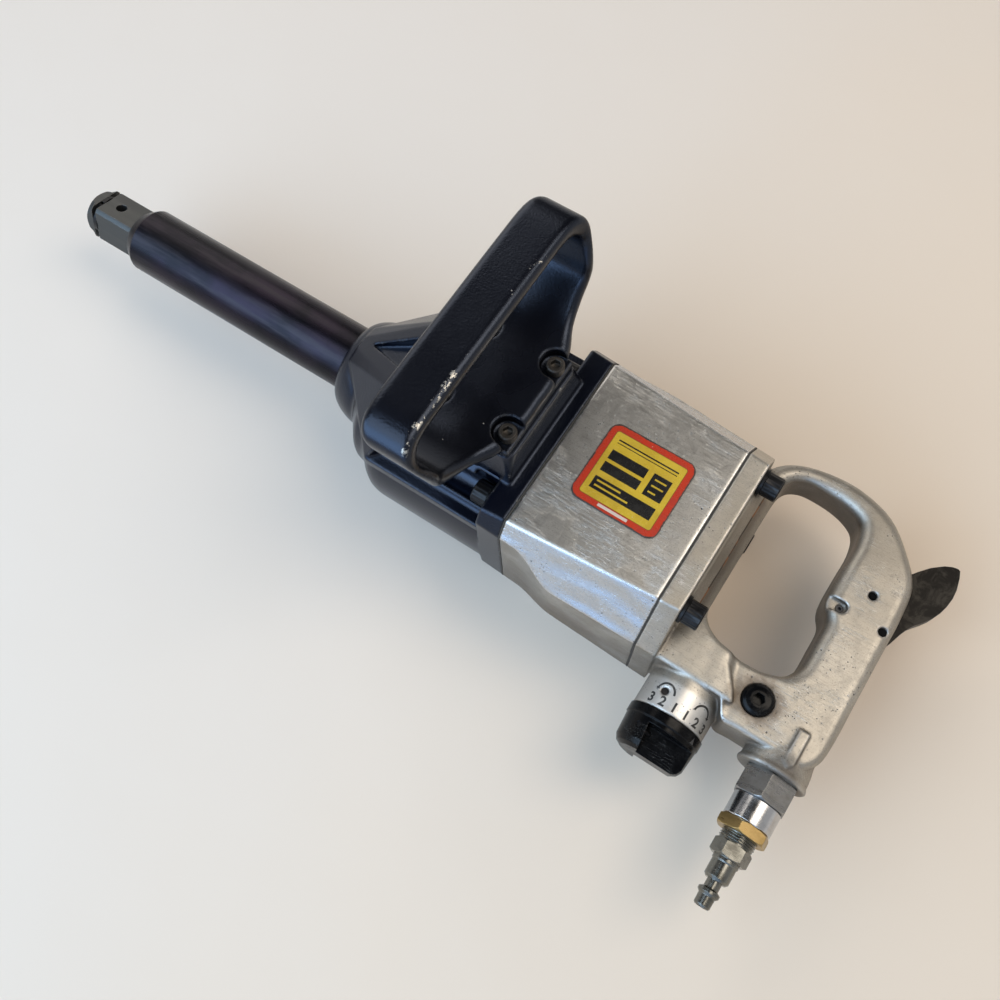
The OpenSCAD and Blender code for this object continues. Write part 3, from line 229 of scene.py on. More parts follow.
# Tones of cast aluminium, what lies on it, and the painted shade and highlight laid on it
GRAIN_GREY = (0.27, 0.255, 0.23, 1)
BRUSHED_GREY = (0.30, 0.29, 0.27, 1)
SPECK_GREY = (0.20, 0.19, 0.17, 1)
FRESH_CUT = (0.84, 0.83, 0.81, 1)
SKIM_CUT = (0.80, 0.79, 0.77, 1)
# Edge colour: rubbed bright, with a painted highlight on it
EDGE_WEAR_AND_HIGHLIGHT = (0.84, 0.835, 0.82, 1)
PIT_BLACK = (0.035, 0.030, 0.025, 1)
# Painted shade in corners and low down, and a darker tone for faces turned away from above
CORNER_SHADE = (0.075, 0.055, 0.038, 1)
LOW_SHADE = (0.20, 0.175, 0.15, 1)
SIDE_FACE_DARK = (0.22, 0.195, 0.165, 1)
SEAM_OIL = (0.05, 0.036, 0.02, 1)
# Painted shade on the rear wall below the line of oil
RECESS_SHADE = (0.16, 0.135, 0.11, 1)
OLD_OIL = (0.030, 0.020, 0.012, 1)
RUST = (0.27, 0.105, 0.032, 1)
# What shows where black paint is rubbed thin or knocked off
THIN_PAINT = (0.085, 0.08, 0.072, 1)
CHIPPED = (0.48, 0.455, 0.40, 1)


def cast_pits(n):
    """Blow holes of three sizes, in patches."""
    uneven = n.ragged(0.9 * MM)
    small = n.most(n.spots(620, 0.24, 0.35, uneven), n.spots(240, 0.15, 0.32, uneven))
    large = n.spots(95, 0.075, 0.26, uneven)
    return n.most(n.times(small, n.ramp(n.noise(30, 3, 0.6), 0.42, 0.60)),
                  n.times(large, n.ramp(n.noise(18, 2), 0.42, 0.52)))


def cast_cuts(n):
    """Scratches in three directions."""
    return n.most(n.scratches(60, 900, 0.012, (0, 0, 0.5)),
                  n.scratches(45, 700, 0.010, (0, 0.2, -0.9)),
                  n.scratches(30, 1100, 0.010, (0, 0.1, 2.0), 40))


def spilled(n, colour, places):
    """Lays an uneven stain round each place; also returns where the stains are."""
    stained = 0.0
    for place, reach, tint in places:
        rim = n.plus(n.measure("DISTANCE", n.at, place), n.times(n.noise(70, 4, 0.7), reach * 1.2))
        stain = n.ramp(rim, reach * 1.75, reach * 1.05)
        colour = n.mix(n.times(stain, 0.65), colour, tint)
        stained = n.most(stained, stain)
    return colour, stained


def shade_and_side_tone(n, colour, lean_z):
    """Paints shade in corners and low down, and darkens faces turned away from above; also returns
    where the painted shade is thick.
    """
    z = n.xyz()[2]
    # painted shade in corners and round seated screws, from ambient occlusion
    corner = n.times(n.crevice(8 * MM), n.ramp(n.noise(80, 3), 0.30, 0.60, 0.45, 1.0))
    # painted shade low down, where the side walls mirror the shadowed floor
    low = n.times(n.ramp(z, 26 * MM, -10 * MM), n.ramp(n.noise(22, 4, 0.6), 0.30, 0.60, 0.55, 0.9))
    # darker on faces that turn away from above
    facing_aside = n.times(n.ramp(lean_z, 0.42, 0.05), n.ramp(n.noise(45, 3), 0.30, 0.62, 0.35, 0.75))
    # paints the shade in corners and low down, and the darker tone of side faces
    colour = n.mix(n.times(corner, 0.72), colour, CORNER_SHADE)
    colour = n.mix(low, colour, LOW_SHADE)
    colour = n.mix(facing_aside, colour, SIDE_FACE_DARK)
    return colour, n.most(corner, low)


def seeped_oil(n, colour):
    """Lays oil in both seams and a rusty line of it on the rear wall, and paints shade on the wall
    below that line as in a recess; also returns where the oil is.
    """
    x, y, z = n.xyz()
    seam = n.most(n.near(x, SEAM_REAR, 0.6 * MM), n.near(x, SEAM_FRONT, 0.5 * MM))
    oily = n.times(seam, n.ramp(n.noise(90, 3), 0.30, 0.55, 0.45, 1.0))
    behind = n.times(n.near(x, BACK_WALL_X, 4.5 * MM), n.ramp(n.size(y), 46 * MM, 40 * MM))
    line_z = n.plus(z, n.times(n.noise(60, 3), 3 * MM))
    weep = n.times(n.near(line_z, OIL_LINE_Z, 1.9 * MM), behind)
    # painted shade on the rear wall below the oil line, as in a recess
    below = n.times(n.ramp(line_z, OIL_LINE_Z, OIL_LINE_Z - 2 * MM), behind)
    rust = n.ramp(n.noise(120, 3), 0.46, 0.60)
    colour = n.mix(n.times(oily, 0.8), colour, SEAM_OIL)
    colour = n.mix(n.times(below, 0.75), colour, RECESS_SHADE)
    colour = n.mix(weep, colour, n.mix(rust, OLD_OIL, RUST))
    return colour, n.most(oily, weep)


def cast_aluminium(name, light, dark, stain_places, rough=0.33, edge_shine=0.7, waviness=9.0,
                   machined=None, slant_reflection=None):
    """Sand-cast and hand-ground aluminium: grained, pitted, scratched, bright on its edges from
    rubbing and a painted highlight.

    machined(n) marks the surfaces that a tool has turned bright; the last argument is a cool tint
    painted on the slanted faces as the reflection of the daylight."""
    n = Finish(name)
    soft = n.round_normal(1.6 * MM)
    edge = n.edge(soft, dense=True)
    grain = n.noise(900, 3, 0.6)
    mottle = n.noise(210, 4, 0.65)
    speck = n.ramp(n.noise(1300, 3, 0.75), 0.54, 0.66)
    pits, cuts = cast_pits(n), cast_cuts(n)
    brushed = n.noise(1.0, 3, 0.6, at=n.stretch(70, 1100, 1100, (0, 0, 0.12)))
    ground = n.noise(1.0, 2, 0.5, at=n.stretch(9, 42, 42, (0, 0, 0.12)), warp=0.8)
    _, lean_y, lean_z = n.xyz(n.flat)
    slanted = n.times(n.ramp(n.size(lean_y), 0.3, 0.6), n.ramp(lean_z, 0.1, 0.3))
    colour = n.mix(n.ramp(n.noise(15, 4, 0.62), 0.30, 0.72), dark, light)
    colour = n.mix(n.ramp(mottle, 0.48, 0.70, 0.0, 0.22), colour, GRAIN_GREY)
    colour = n.mix(n.ramp(brushed, 0.50, 0.66, 0.0, 0.34), colour, BRUSHED_GREY)
    colour = n.mix(n.times(speck, 0.5), colour, SPECK_GREY)
    colour = n.mix(n.times(cuts, 0.6), colour, FRESH_CUT)
    # painted reflection: a cool tint on the slanted faces, as the daylight mirrored in them
    if slant_reflection:
        colour = n.mix(n.times(slanted, 0.45), colour, slant_reflection)
    if machined:
        colour = n.mix(n.times(machined(n), 0.75), colour, SKIM_CUT)
    # edges rubbed bright, with a painted highlight along them
    colour = n.mix(n.times(edge, edge_shine), colour, EDGE_WEAR_AND_HIGHLIGHT)
    colour = n.mix(n.times(pits, 0.92), colour, PIT_BLACK)
    colour, stained = spilled(n, colour, stain_places)
    # painted shade in corners and low down, and darker faces turned away from above
    colour, shaded = shade_and_side_tone(n, colour, lean_z)
    colour, oily = seeped_oil(n, colour)
    raised = n.plus(n.times(grain, 0.45), n.times(mottle, 0.7), n.times(brushed, 0.4),
                    n.times(ground, slanted, waviness))
    sunk = n.plus(n.times(pits, 2.4), n.times(cuts, 0.4))
    polish = n.times(n.plus(edge, slanted), -0.08)
    matt = n.times(n.most(pits, oily, stained, shaded), 0.22)
    roughness = n.plus(n.ramp(mottle, 0.3, 0.7, rough - 0.01, rough + 0.05), polish)
    return n.done(Base_Color=colour, Metallic=n.ramp(n.most(pits, oily), 0.0, 1.0, 1.0, 0.35),
                  Roughness=n.math("ADD", roughness, matt, clamp=True),
                  Normal=n.bump(n.minus(raised, sunk), 0.11 * MM, soft))


def turned_boss(n):
    """The skim-cut outside of the valve boss, behind the knob."""
    x, y, z = n.xyz()
    off = n.minus(x, DIAL_X)
    radius = n.math("SQRT", n.plus(n.times(off, off), n.times(z, z)))
    outside = n.ramp(y, KNOB_LOW.y - 19 * MM, KNOB_LOW.y - 16 * MM)
    return n.times(n.ramp(radius, DIAL_R + 0.8 * MM, DIAL_R + 0.3 * MM), outside)


def satin_paint(name, base, chip_zone, edge_wear, rough, soft_radius=1.4 * MM):
    """Satin black paint with a faint orange-peel, rubbed edges, dust and chips to bare metal."""
    n = Finish(name)
    soft = n.round_normal(soft_radius)
    edge = n.edge(soft, dense=True)
    peel = n.noise(950, 2, 0.5)
    lift = n.noise(150, 5, 0.72)
    colour = n.mix(n.ramp(n.noise(30, 4, 0.6), 0.35, 0.7), base, scaled(base, 1.3))
    rub = n.times(edge, n.ramp(lift, 0.42, 0.60), edge_wear)
    colour = n.mix(rub, colour, THIN_PAINT)
    dust = n.times(n.spots(170, 0.075, 0.10), n.ramp(n.noise(16, 2), 0.42, 0.55))
    chips = n.most(n.times(dust, 0.8), chip_zone(n, edge, lift))
    colour = n.mix(chips, colour, CHIPPED)
    height = n.minus(n.plus(n.times(peel, 1.4), n.times(lift, 0.3)), n.times(chips, 1.2))
    roughness = n.ramp(n.noise(40, 2, 0.5), 0.3, 0.7, rough - 0.02, rough + 0.04)
    return n.done(Base_Color=colour, Metallic=n.times(chips, 0.6), Specular_IOR_Level=0.5,
                  Specular_Tint=(0.62, 0.74, 1.0, 1),
                  Roughness=n.plus(roughness, n.times(rub, 0.15)),
                  Normal=n.bump(height, 0.06 * MM, soft))


def loop_chips(n, _, lift):
    """Paint knocked off the rear edge of the grip bar, most of it towards the near end."""
    y, z = n.xyz()[1:]
    lean_x, _, lean_z = n.xyz(n.flat)
    top = n.ramp(z, LOOP_HIGH.z - 9 * MM, LOOP_HIGH.z - 4 * MM)
    turning = n.times(n.ramp(lean_x, -0.02, -0.10), n.ramp(lean_z, 0.66, 0.80))
    near_end = n.ramp(n.gap(y, 56 * MM), 44 * MM, 4 * MM, 0.0, 0.13)
    far_end = n.ramp(n.gap(y, -46 * MM), 22 * MM, 6 * MM, 0.0, 0.055)
    wanted = n.plus(n.noise(150, 6, 0.80), near_end, far_end)
    along_edge = n.times(n.ramp(wanted, 0.645, 0.660), top, turning)
    stray = n.times(n.spots(40, 0.05, 0.12, n.ragged(1.2 * MM)), n.ramp(lift, 0.40, 0.47))
    return n.most(along_edge, stray)


def case_chips(n, edge, lift):
    """Small bare spots on the ribs and flange arrises of the hammer case."""
    return n.times(n.ramp(edge, 0.3, 0.8), n.ramp(lift, 0.62, 0.65), 0.55)


def black_oxide(name, base=(0.008, 0.008, 0.009, 1), rough=0.34, worn=(0.10, 0.097, 0.093, 1),
                metal=0.6, shine=0.5):
    """Blackened steel, worn to grey on its corners."""
    n = Finish(name)
    soft = n.round_normal(0.35 * MM)
    lift = n.noise(260, 4, 0.7)
    colour = n.mix(n.ramp(n.noise(90, 4, 0.6), 0.35, 0.7), base, scaled(base, 2))
    colour = n.mix(n.times(n.edge(soft), n.ramp(lift, 0.35, 0.6), 0.7), colour, worn)
    return n.done(Base_Color=colour, Metallic=metal, Specular_IOR_Level=shine,
                  Roughness=n.ramp(lift, 0.3, 0.7, rough - 0.06, rough + 0.10),
                  Normal=n.bump(lift, 0.03 * MM, soft))


def oxide_shaft(name):
    """Turned and heat-blued shaft: streaks along it, bluish and purple sheen, a worn square."""
    n = Finish(name)
    x = n.xyz()[0]
    soft = n.round_normal(0.7 * MM)
    streak = n.noise(1.0, 4, 0.62, at=n.stretch(14, 160, 160))
    cloud = n.noise(24, 4, 0.6)
    turned = n.noise(1.0, 2, 0.5, at=n.stretch(2600, 30, 30))
    # the shoulder of the square drive is at x = 0
    square = n.ramp(n.plus(x, n.times(cloud, 10 * MM)), -1 * MM, 5 * MM)
    rubbed = n.times(n.edge(soft), n.ramp(n.noise(140, 4, 0.7), 0.35, 0.6), 0.8)
    colour = n.mix(n.ramp(cloud, 0.38, 0.64), (0.010, 0.0095, 0.013, 1), (0.020, 0.015, 0.024, 1))
    colour = n.mix(n.ramp(streak, 0.48, 0.68, 0.0, 0.7), colour, (0.034, 0.030, 0.036, 1))
    colour = n.mix(n.times(square, 0.85), colour, (0.085, 0.088, 0.086, 1))
    colour = n.mix(rubbed, colour, (0.32, 0.31, 0.29, 1))
    roughness = n.plus(n.ramp(streak, 0.3, 0.7, 0.24, 0.38), n.times(square, 0.14))
    height = n.plus(n.times(turned, 0.3), n.times(streak, 0.5))
    return n.done(Base_Color=colour, Metallic=0.85, Roughness=roughness,
                  Normal=n.bump(height, 0.03 * MM, soft))


def mottled_steel(name):
    """Heat-treated plate of the trigger: brown-grey mottling, bright rubbed rim."""
    n = Finish(name)
    soft = n.round_normal(0.5 * MM)
    blotch = n.noise(75, 5, 0.72, warp=0.6)
    colour = n.mix(n.ramp(blotch, 0.42, 0.60), (0.007, 0.0062, 0.0055, 1), (0.034, 0.031, 0.027, 1))
    colour = n.mix(n.times(n.spots(170, 0.2, 0.35), 0.6), colour, (0.035, 0.03, 0.026, 1))
    colour = n.mix(n.times(n.edge(soft), 0.7), colour, (0.17, 0.16, 0.15, 1))
    return n.done(Base_Color=colour, Metallic=0.8, Roughness=n.ramp(blotch, 0.3, 0.7, 0.34, 0.52),
                  Normal=n.bump(n.plus(n.noise(420, 3, 0.6), blotch), 0.05 * MM, soft))


def bright_metal(name, base, tarnish, rough, soft_radius=0.4 * MM, grooves=(40, 900, 40), pits=0.3):
    """Machined or plated metal: fine turning marks, light tarnish, bright edges, a few dents."""
    n = Finish(name)
    soft = n.round_normal(soft_radius)
    marks = n.noise(1.0, 3, 0.6, at=n.stretch(*grooves))
    cloud = n.noise(120, 4, 0.65)
    dents = n.times(n.spots(330, 0.15, 0.3), n.ramp(n.noise(60, 2), 0.5, 0.62))
    colour = n.mix(n.ramp(cloud, 0.40, 0.72, 0.0, 0.75), base, tarnish)
    colour = n.mix(n.times(dents, pits * 2), colour, scaled(tarnish, 0.25))
    colour = n.mix(n.times(n.edge(soft), 0.6), colour, scaled(base, 2.2, limit=0.85))
    uneven = n.plus(n.times(marks, 0.5), n.times(cloud, 0.5))
    height = n.minus(n.times(marks, 0.4), n.times(dents, pits * 3))
    return n.done(Base_Color=colour, Metallic=1.0,
                  Roughness=n.ramp(uneven, 0.3, 0.7, rough * 0.75, rough * 1.35),
                  Normal=n.bump(height, 0.03 * MM, soft))


def moulded_plastic(name, base, rough, scuff=0.5):
    """Gloss black moulding with scuffs and tiny light nicks."""
    n = Finish(name)
    soft = n.round_normal(0.7 * MM)
    lift = n.noise(190, 5, 0.7)
    nicks = n.times(n.spots(260, 0.10, 0.22), n.ramp(n.noise(60, 3), 0.54, 0.62))
    lines = n.scratches(70, 900, 0.010, (0.3, 0.2, 0.9), 60)
    rubbed = n.times(n.edge(soft), n.ramp(lift, 0.4, 0.62), scuff * 0.35)
    colour = n.mix(rubbed, base, (0.10, 0.10, 0.10, 1))
    scuffed = n.times(n.most(nicks, n.times(lines, 0.35)), scuff)
    colour = n.mix(scuffed, colour, (0.45, 0.44, 0.42, 1))
    return n.done(Base_Color=colour, Specular_IOR_Level=0.14,
                  Roughness=n.ramp(lift, 0.3, 0.7, rough - 0.05, rough + 0.12),
                  Normal=n.bump(n.minus(n.times(lift, 0.4), nicks), 0.04 * MM, soft))


def soft_matter(name, base, rough, scale):
    """Rubber, gasket paper and vane laminate: matt, with a fibre or bloom in the surface."""
    n = Finish(name)
    fibre = n.noise(1.0, 4, 0.65, at=n.stretch(scale, scale * 3, scale))
    colour = n.mix(n.ramp(fibre, 0.35, 0.7), base, scaled(base, 1.8, 0.01))
    return n.done(Base_Color=colour, Roughness=n.ramp(fibre, 0.3, 0.7, rough - 0.1, rough + 0.08),
                  Normal=n.bump(fibre, 0.05 * MM, n.round_normal(0.2 * MM)))


# Rectangles on the label, in mm from its centre: u0, u1 along the tool towards the handle,
# v0, v1 across it towards the knob
LABEL_BARS = ((-18.5, 18.5, -16.5, -15.6), (-18.5, 18.5, -14.4, -13.9), (-18.5, 4, -9.5, -3.5),
              (-18.5, 4, -1.5, 4.5), (7.5, 18.5, -9.5, 4.5), (-18.5, 18.5, 8.2, 15.8))
LABEL_GAPS = ((-16.5, -2, 9.8, 10.9), (-16.5, 4, 12.8, 13.9), (9.5, 16.5, -6.8, -5.8),
              (9.5, 16.5, -2.9, -1.9), (9.5, 14, 1.0, 2.0))
LABEL_STRIP = (-9, 9, 21.3, 23)
LABEL_CORNER = 6 * MM
LABEL_BORDER = 4.4 * MM


def label_print(name):
    """Enamelled plate: red border, yellow field, plain dark bars and a pale strip."""
    n = Finish(name)
    x, y = n.xyz()[:2]
    centre, half = (LABEL_LOW + LABEL_HIGH) / 2, (LABEL_HIGH - LABEL_LOW) / 2
    u, v = n.minus(centre.x, x), n.minus(y, centre.y)

    def inside(*rectangle):
        """1 inside one of the rectangles above."""
        u0, u1, v0, v1 = (side * MM for side in rectangle)
        in_u = n.math("LESS_THAN", n.gap(u, (u0 + u1) / 2), (u1 - u0) / 2)
        in_v = n.math("LESS_THAN", n.gap(v, (v0 + v1) / 2), (v1 - v0) / 2)
        return n.times(in_u, in_v)

    def within_plate():
        """Distance inside the plate's outline, a rectangle with rounded corners."""
        over_u = n.minus(n.size(u), half.x - LABEL_CORNER)
        over_v = n.minus(n.size(v), half.y - LABEL_CORNER)
        squares = [n.math("POWER", n.most(over, 0.0), 2.0) for over in (over_u, over_v)]
        straight = n.math("MINIMUM", n.most(over_u, over_v), 0.0)
        return n.minus(LABEL_CORNER, n.plus(n.math("SQRT", n.plus(*squares)), straight))

    worn = n.noise(150, 5, 0.7)
    red = n.mix(n.ramp(worn, 0.4, 0.7), (0.50, 0.040, 0.016, 1), (0.40, 0.028, 0.012, 1))
    patchy = n.ramp(n.noise(60, 3), 0.35, 0.65)
    yellow = n.mix(patchy, (0.60, 0.40, 0.035, 1), (0.50, 0.32, 0.028, 1))
    depth = within_plate()
    field = n.math("GREATER_THAN", depth, LABEL_BORDER)
    outline = n.near(depth, LABEL_BORDER, 0.35 * MM)
    bars = n.most(*(inside(*place) for place in LABEL_BARS))
    gaps = n.most(*(inside(*place) for place in LABEL_GAPS))
    ragged_depth = n.plus(depth, n.times(n.minus(worn, 0.5), 2.4 * MM))
    flaked = n.ramp(ragged_depth, 0.9 * MM, 0.5 * MM)
    colour = n.mix(field, red, yellow)
    colour = n.mix(n.most(bars, n.times(outline, 0.6)), colour, (0.012, 0.011, 0.010, 1))
    colour = n.mix(gaps, colour, yellow)
    colour = n.mix(inside(*LABEL_STRIP), colour, (0.62, 0.50, 0.42, 1))
    colour = n.mix(flaked, colour, (0.055, 0.045, 0.038, 1))
    colour = n.mix(n.times(n.spots(260, 0.09, 0.06), 0.8), colour, (0.55, 0.5, 0.45, 1))
    height = n.minus(n.times(n.noise(90, 2), 0.6), n.times(field, 0.5))
    return n.done(Base_Color=colour, Roughness=n.ramp(worn, 0.3, 0.7, 0.20, 0.34),
                  Coat_Weight=0.35, Coat_Roughness=0.12,
                  Normal=n.bump(height, 0.04 * MM, n.round_normal(0.5 * MM)))


def ink(name, base, rough=0.55):
    """Paint or oil held in the bottom of engraved marks."""
    n = Finish(name)
    fleck = n.noise(500, 4, 0.7)
    colour = n.mix(n.ramp(fleck, 0.5, 0.72), base, (0.16, 0.15, 0.135, 1))
    return n.done(Base_Color=colour, Roughness=rough, Normal=n.bump(fleck, 0.03 * MM, n.flat))


# ---------------------------------------------------------------- pieces in mesh code

def linked(name, data):
    """A new object with this data, in the scene."""
    obj = bpy.data.objects.new(name, data)
    bpy.context.scene.collection.objects.link(obj)
    return obj


def mesh_of(bm, name):
    """The mesh that a bmesh holds; the bmesh is given up."""
    mesh = bpy.data.meshes.new(name)
    bm.to_mesh(mesh)
    bm.free()
    return mesh


def piece(name, mesh, material, body, slot, *stands_for):
    """Puts a finished mesh in as a piece of the tool that rides on a body."""
    obj = linked(name, mesh)
    mesh.materials.clear()
    mesh.materials.append(material)
    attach(obj, body)
    if stands_for:
        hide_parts(*stands_for)


def shade(mesh, degrees):
    """Smooth shading that keeps edges sharper than the angle."""
    mesh.polygons.foreach_set("use_smooth", [True] * len(mesh.polygons))
    mesh.set_sharp_from_angle(angle=math.radians(degrees))


def voxel_copy(node, voxel):
    """The mesh of a CAD node in small even facets."""
    work = linked(node + "_work", NODES[node].data.copy())
    remesh = work.modifiers.new("even", "REMESH")
    remesh.mode = "VOXEL"
    remesh.voxel_size = voxel
    remesh.adaptivity = 0
    graph = bpy.context.evaluated_depsgraph_get()
    mesh = bpy.data.meshes.new_from_object(work.evaluated_get(graph))
    bpy.data.objects.remove(work)
    return mesh


def read_vectors(mesh, attribute):
    """Points ("co") or normals ("normal") of a mesh, one row each."""
    values = np.empty(len(mesh.vertices) * 3)
    mesh.vertices.foreach_get(attribute, values)
    return values.reshape(-1, 3)


def write_points(mesh, points):
    mesh.vertices.foreach_set("co", points.reshape(-1))
    mesh.update()


def softened(node, voxel, passes, hold, hollows=None):
    """Mesh of a CAD casting with its arrises rounded as sand casting leaves them.

    hold(points) gives 0 where a face must stay where the CAD has it and 1 where it may move;
    hollows(points, normals) gives how far the grinder has dug into each place."""
    mesh = voxel_copy(node, voxel)
    points = read_vectors(mesh, "co")
    count = len(points)
    edges = np.empty(len(mesh.edges) * 2, dtype=np.int64)
    mesh.edges.foreach_get("vertices", edges)
    ends = np.concatenate([edges[0::2], edges[1::2]])
    others = np.concatenate([edges[1::2], edges[0::2]])
    degree = np.maximum(np.bincount(ends, minlength=count), 1)[:, None]
    free = hold(points)[:, None]
    # each pass shrinks and swells again, so that only arrises move; the last two only shrink
    for push in (0.62, -0.50) * passes + (0.5, 0.5):
        total = np.stack([np.bincount(ends, weights=points[others, k], minlength=count)
                          for k in range(3)], axis=1)
        points = points + push * free * (total / degree - points)
    if hollows:
        write_points(mesh, points)
        normals = read_vectors(mesh, "normal")
        points = points - normals * free * hollows(points, normals)[:, None]
    write_points(mesh, np.clip(points, *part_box(node)))
    shade(mesh, 60)
    return mesh


def step(x, low, high):
    """Smooth step from 0 at low to 1 at high."""
    t = np.clip((x - low) / (high - low), 0, 1)
    return t * t * (3 - 2 * t)


def off_face(distance, free=1.4 * MM):
    """0 on a face that stays where it is, 1 from a distance at which points may move."""
    return step(distance, 0.2 * MM, free)


def hold_case(p):
    """The joint face and the bores stay; the outside may move."""
    nose_bore, hammer_bore, nose_length = 26 * MM, 50.6 * MM, 53 * MM
    bore = np.where(p[:, 0] > CASE_HIGH.x - nose_length, nose_bore, hammer_bore)
    radius = np.hypot(p[:, 1], p[:, 2])
    return off_face(p[:, 0] - CASE_LOW.x, 1.6 * MM) * step(radius, bore, bore + 0.6 * MM)


def hold_housing(p):
    """Both joint faces and the motor bore stay."""
    ends = np.minimum(p[:, 0] - HOUSING_LOW.x, HOUSING_HIGH.x - p[:, 0])
    radius = np.hypot(p[:, 1], p[:, 2])
    return off_face(ends) * step(radius, 46 * MM, 47 * MM)


def hold_handle(p):
    """The joint face stays."""
    return off_face(HANDLE_FRONT - p[:, 0])


def hold_loop(p):
    """The foot on the hammer case stays."""
    return off_face(p[:, 2] - LOOP_LOW.z, 1.2 * MM)


def ground_hollows(p, normals):
    """Long shallow waves that a hand grinder left on the slanted faces of the housing."""
    deepest = 0.60 * MM
    along, across = p[:, 0], p[:, 1] - p[:, 2]
    slanted = step(np.abs(normals[:, 1]), 0.45, 0.75) * step(normals[:, 2], 0.25, 0.45)
    sway = 5 * MM * np.sin(along / (16 * MM) + 1.0)
    waves = 0.5 + 0.5 * np.sin((across + sway) / (3.6 * MM) + along / (26 * MM))
    patch = step(np.sin(along / (15 * MM) + 2.2) + 0.6 * np.sin(across / (9 * MM)), -1.2, 0.8)
    return deepest * slanted * waves * patch


def ring_of(bm, radius, height, count, flute=0.0, hexagon=0.0):
    """One ring of points: a circle, a fluted circle or a hexagon with that many points."""
    ring = []
    for k in range(count):
        angle = 2 * math.pi * k / count
        r = radius - (flute if k % 4 in (2, 3) else 0.0)
        if hexagon:
            sixth = (angle + math.pi / 6) % (math.pi / 3) - math.pi / 6
            r = hexagon / math.cos(sixth)
        ring.append(bm.verts.new((r * math.cos(angle), r * math.sin(angle), height)))
    return ring


def bridge(bm, lower, upper):
    """Faces between two rings with the same number of points."""
    count = len(lower)
    for k in range(count):
        m = (k + 1) % count
        bm.faces.new((lower[k], lower[m], upper[m], upper[k]))


def cap_screw_mesh(head_d, head_h, shank_d, length, hex_af, flutes=16, flute_depth=0.3 * MM):
    """Socket cap screw along +Z with a fluted head; its seat is at z = 0."""
    bm = bmesh.new()
    count = flutes * 4
    r = head_d / 2
    chamfer = 0.7 * MM
    depth = head_h * 0.6
    # from the end of the shank, out under the head, up its flutes and down into the socket
    rings = [
        ring_of(bm, shank_d / 2 - 0.8 * MM, -length, count),
        ring_of(bm, shank_d / 2, -length + 0.9 * MM, count),
        ring_of(bm, shank_d / 2, 0, count),
        ring_of(bm, r - 0.3 * MM, 0, count),
        ring_of(bm, r, 0.4 * MM, count),
        ring_of(bm, r, 1.1 * MM, count, flute_depth),
        ring_of(bm, r, head_h - chamfer - 0.4 * MM, count, flute_depth),
        ring_of(bm, r - 0.05 * MM, head_h - chamfer, count),
        ring_of(bm, r - chamfer, head_h, count),
        ring_of(bm, hex_af / 2 + 0.9 * MM, head_h, count),
        ring_of(bm, 0, head_h - 0.05 * MM, count, hexagon=hex_af / 2 + 0.12 * MM),
        ring_of(bm, 0, head_h - 0.5 * MM, count, hexagon=hex_af / 2),
        ring_of(bm, 0, head_h - depth, count, hexagon=hex_af / 2),
    ]
    for lower, upper in zip(rings, rings[1:]):
        bridge(bm, lower, upper)
    bm.faces.new(list(reversed(rings[0])))
    drill = bm.verts.new((0, 0, head_h - depth - 0.8 * MM))
    for k in range(count):
        bm.faces.new((rings[-1][k], rings[-1][(k + 1) % count], drill))
    bmesh.ops.recalc_face_normals(bm, faces=bm.faces)
    return mesh_of(bm, "cap_screw")


def gathered(mesh, places):
    """One mesh with a copy of the given one at each matrix."""
    bm = bmesh.new()
    for place in places:
        copy = mesh.copy()
        copy.transform(place)
        bm.from_mesh(copy)
        bpy.data.meshes.remove(copy)
    out = mesh_of(bm, mesh.name + "s")
    bpy.data.meshes.remove(mesh)
    shade(out, 30)
    return out


def aimed(x, y, z, direction, turn=0.0):
    """A place with its Z axis along a direction."""
    aim = Vector(direction).to_track_quat("Z", "Y").to_matrix().to_4x4()
    return Matrix.Translation((x, y, z)) @ aim @ Matrix.Rotation(turn, 4, "Z")


def corner_places(node, head_r, seat_x, direction):
    """Places of a four-screw group along X, from the box of its CAD node."""
    high = span(node)[1]
    y, z = high.y - head_r, high.z - head_r
    return [aimed(seat_x, side * y, level * z, direction, 0.4 * side + 0.7 * level)
            for side in (-1, 1) for level in (-1, 1)]


def build_screws(material, socket_material):
    """Four long cap screws at each end of the housing and four in the side handle's base."""
    head_d, head_h, shank_d, hex_af = 14 * MM, 9.5 * MM, 8 * MM, 6 * MM
    for name, node, way in (("case_screws", "front_cap_screws", 1),
                            ("handle_bolts", "rear_cap_screws", -1)):
        low, high = span(node)
        seat_x = high.x - head_h if way > 0 else low.x + head_h
        screw = cap_screw_mesh(head_d, head_h, shank_d, high.x - low.x - head_h, hex_af)
        places = corner_places(node, head_d / 2, seat_x, (way, 0, 0))
        piece(name, gathered(screw, places), material, "tool", "screw_steel", node)
    low, high = span("side_handle_screws")
    head_d, head_h, shank_d, hex_af = 10 * MM, 6 * MM, 6 * MM, 5 * MM
    screw = cap_screw_mesh(head_d, head_h, shank_d, high.z - low.z - head_h, hex_af, 20, 0.15 * MM)
    places = [aimed(x, y, high.z - head_h, (0, 0, 1), 0.3 + 40 * x)
              for x in (low.x + head_d / 2, high.x - head_d / 2)
              for y in (low.y + head_d / 2, high.y - head_d / 2)]
    piece("grip_screws", gathered(screw, places), socket_material, "tool", "screw_steel",
          "side_handle_screws")


def digit_mesh(text, height):
    """Flat outline of one numeral, centred on the origin, reading along +X."""
    curve = bpy.data.curves.new("digit", "FONT")
    curve.body = text
    # a numeral is about 0.69 of the font's size high; the offset thickens its strokes
    curve.size = height * 1.45
    curve.align_x = "CENTER"
    curve.align_y = "CENTER"
    curve.resolution_u = 3
    curve.offset = 0.045 * height
    obj = linked("digit", curve)
    graph = bpy.context.evaluated_depsgraph_get()
    mesh = bpy.data.meshes.new_from_object(obj.evaluated_get(graph))
    bpy.data.objects.remove(obj)
    bpy.data.curves.remove(curve)
    return mesh


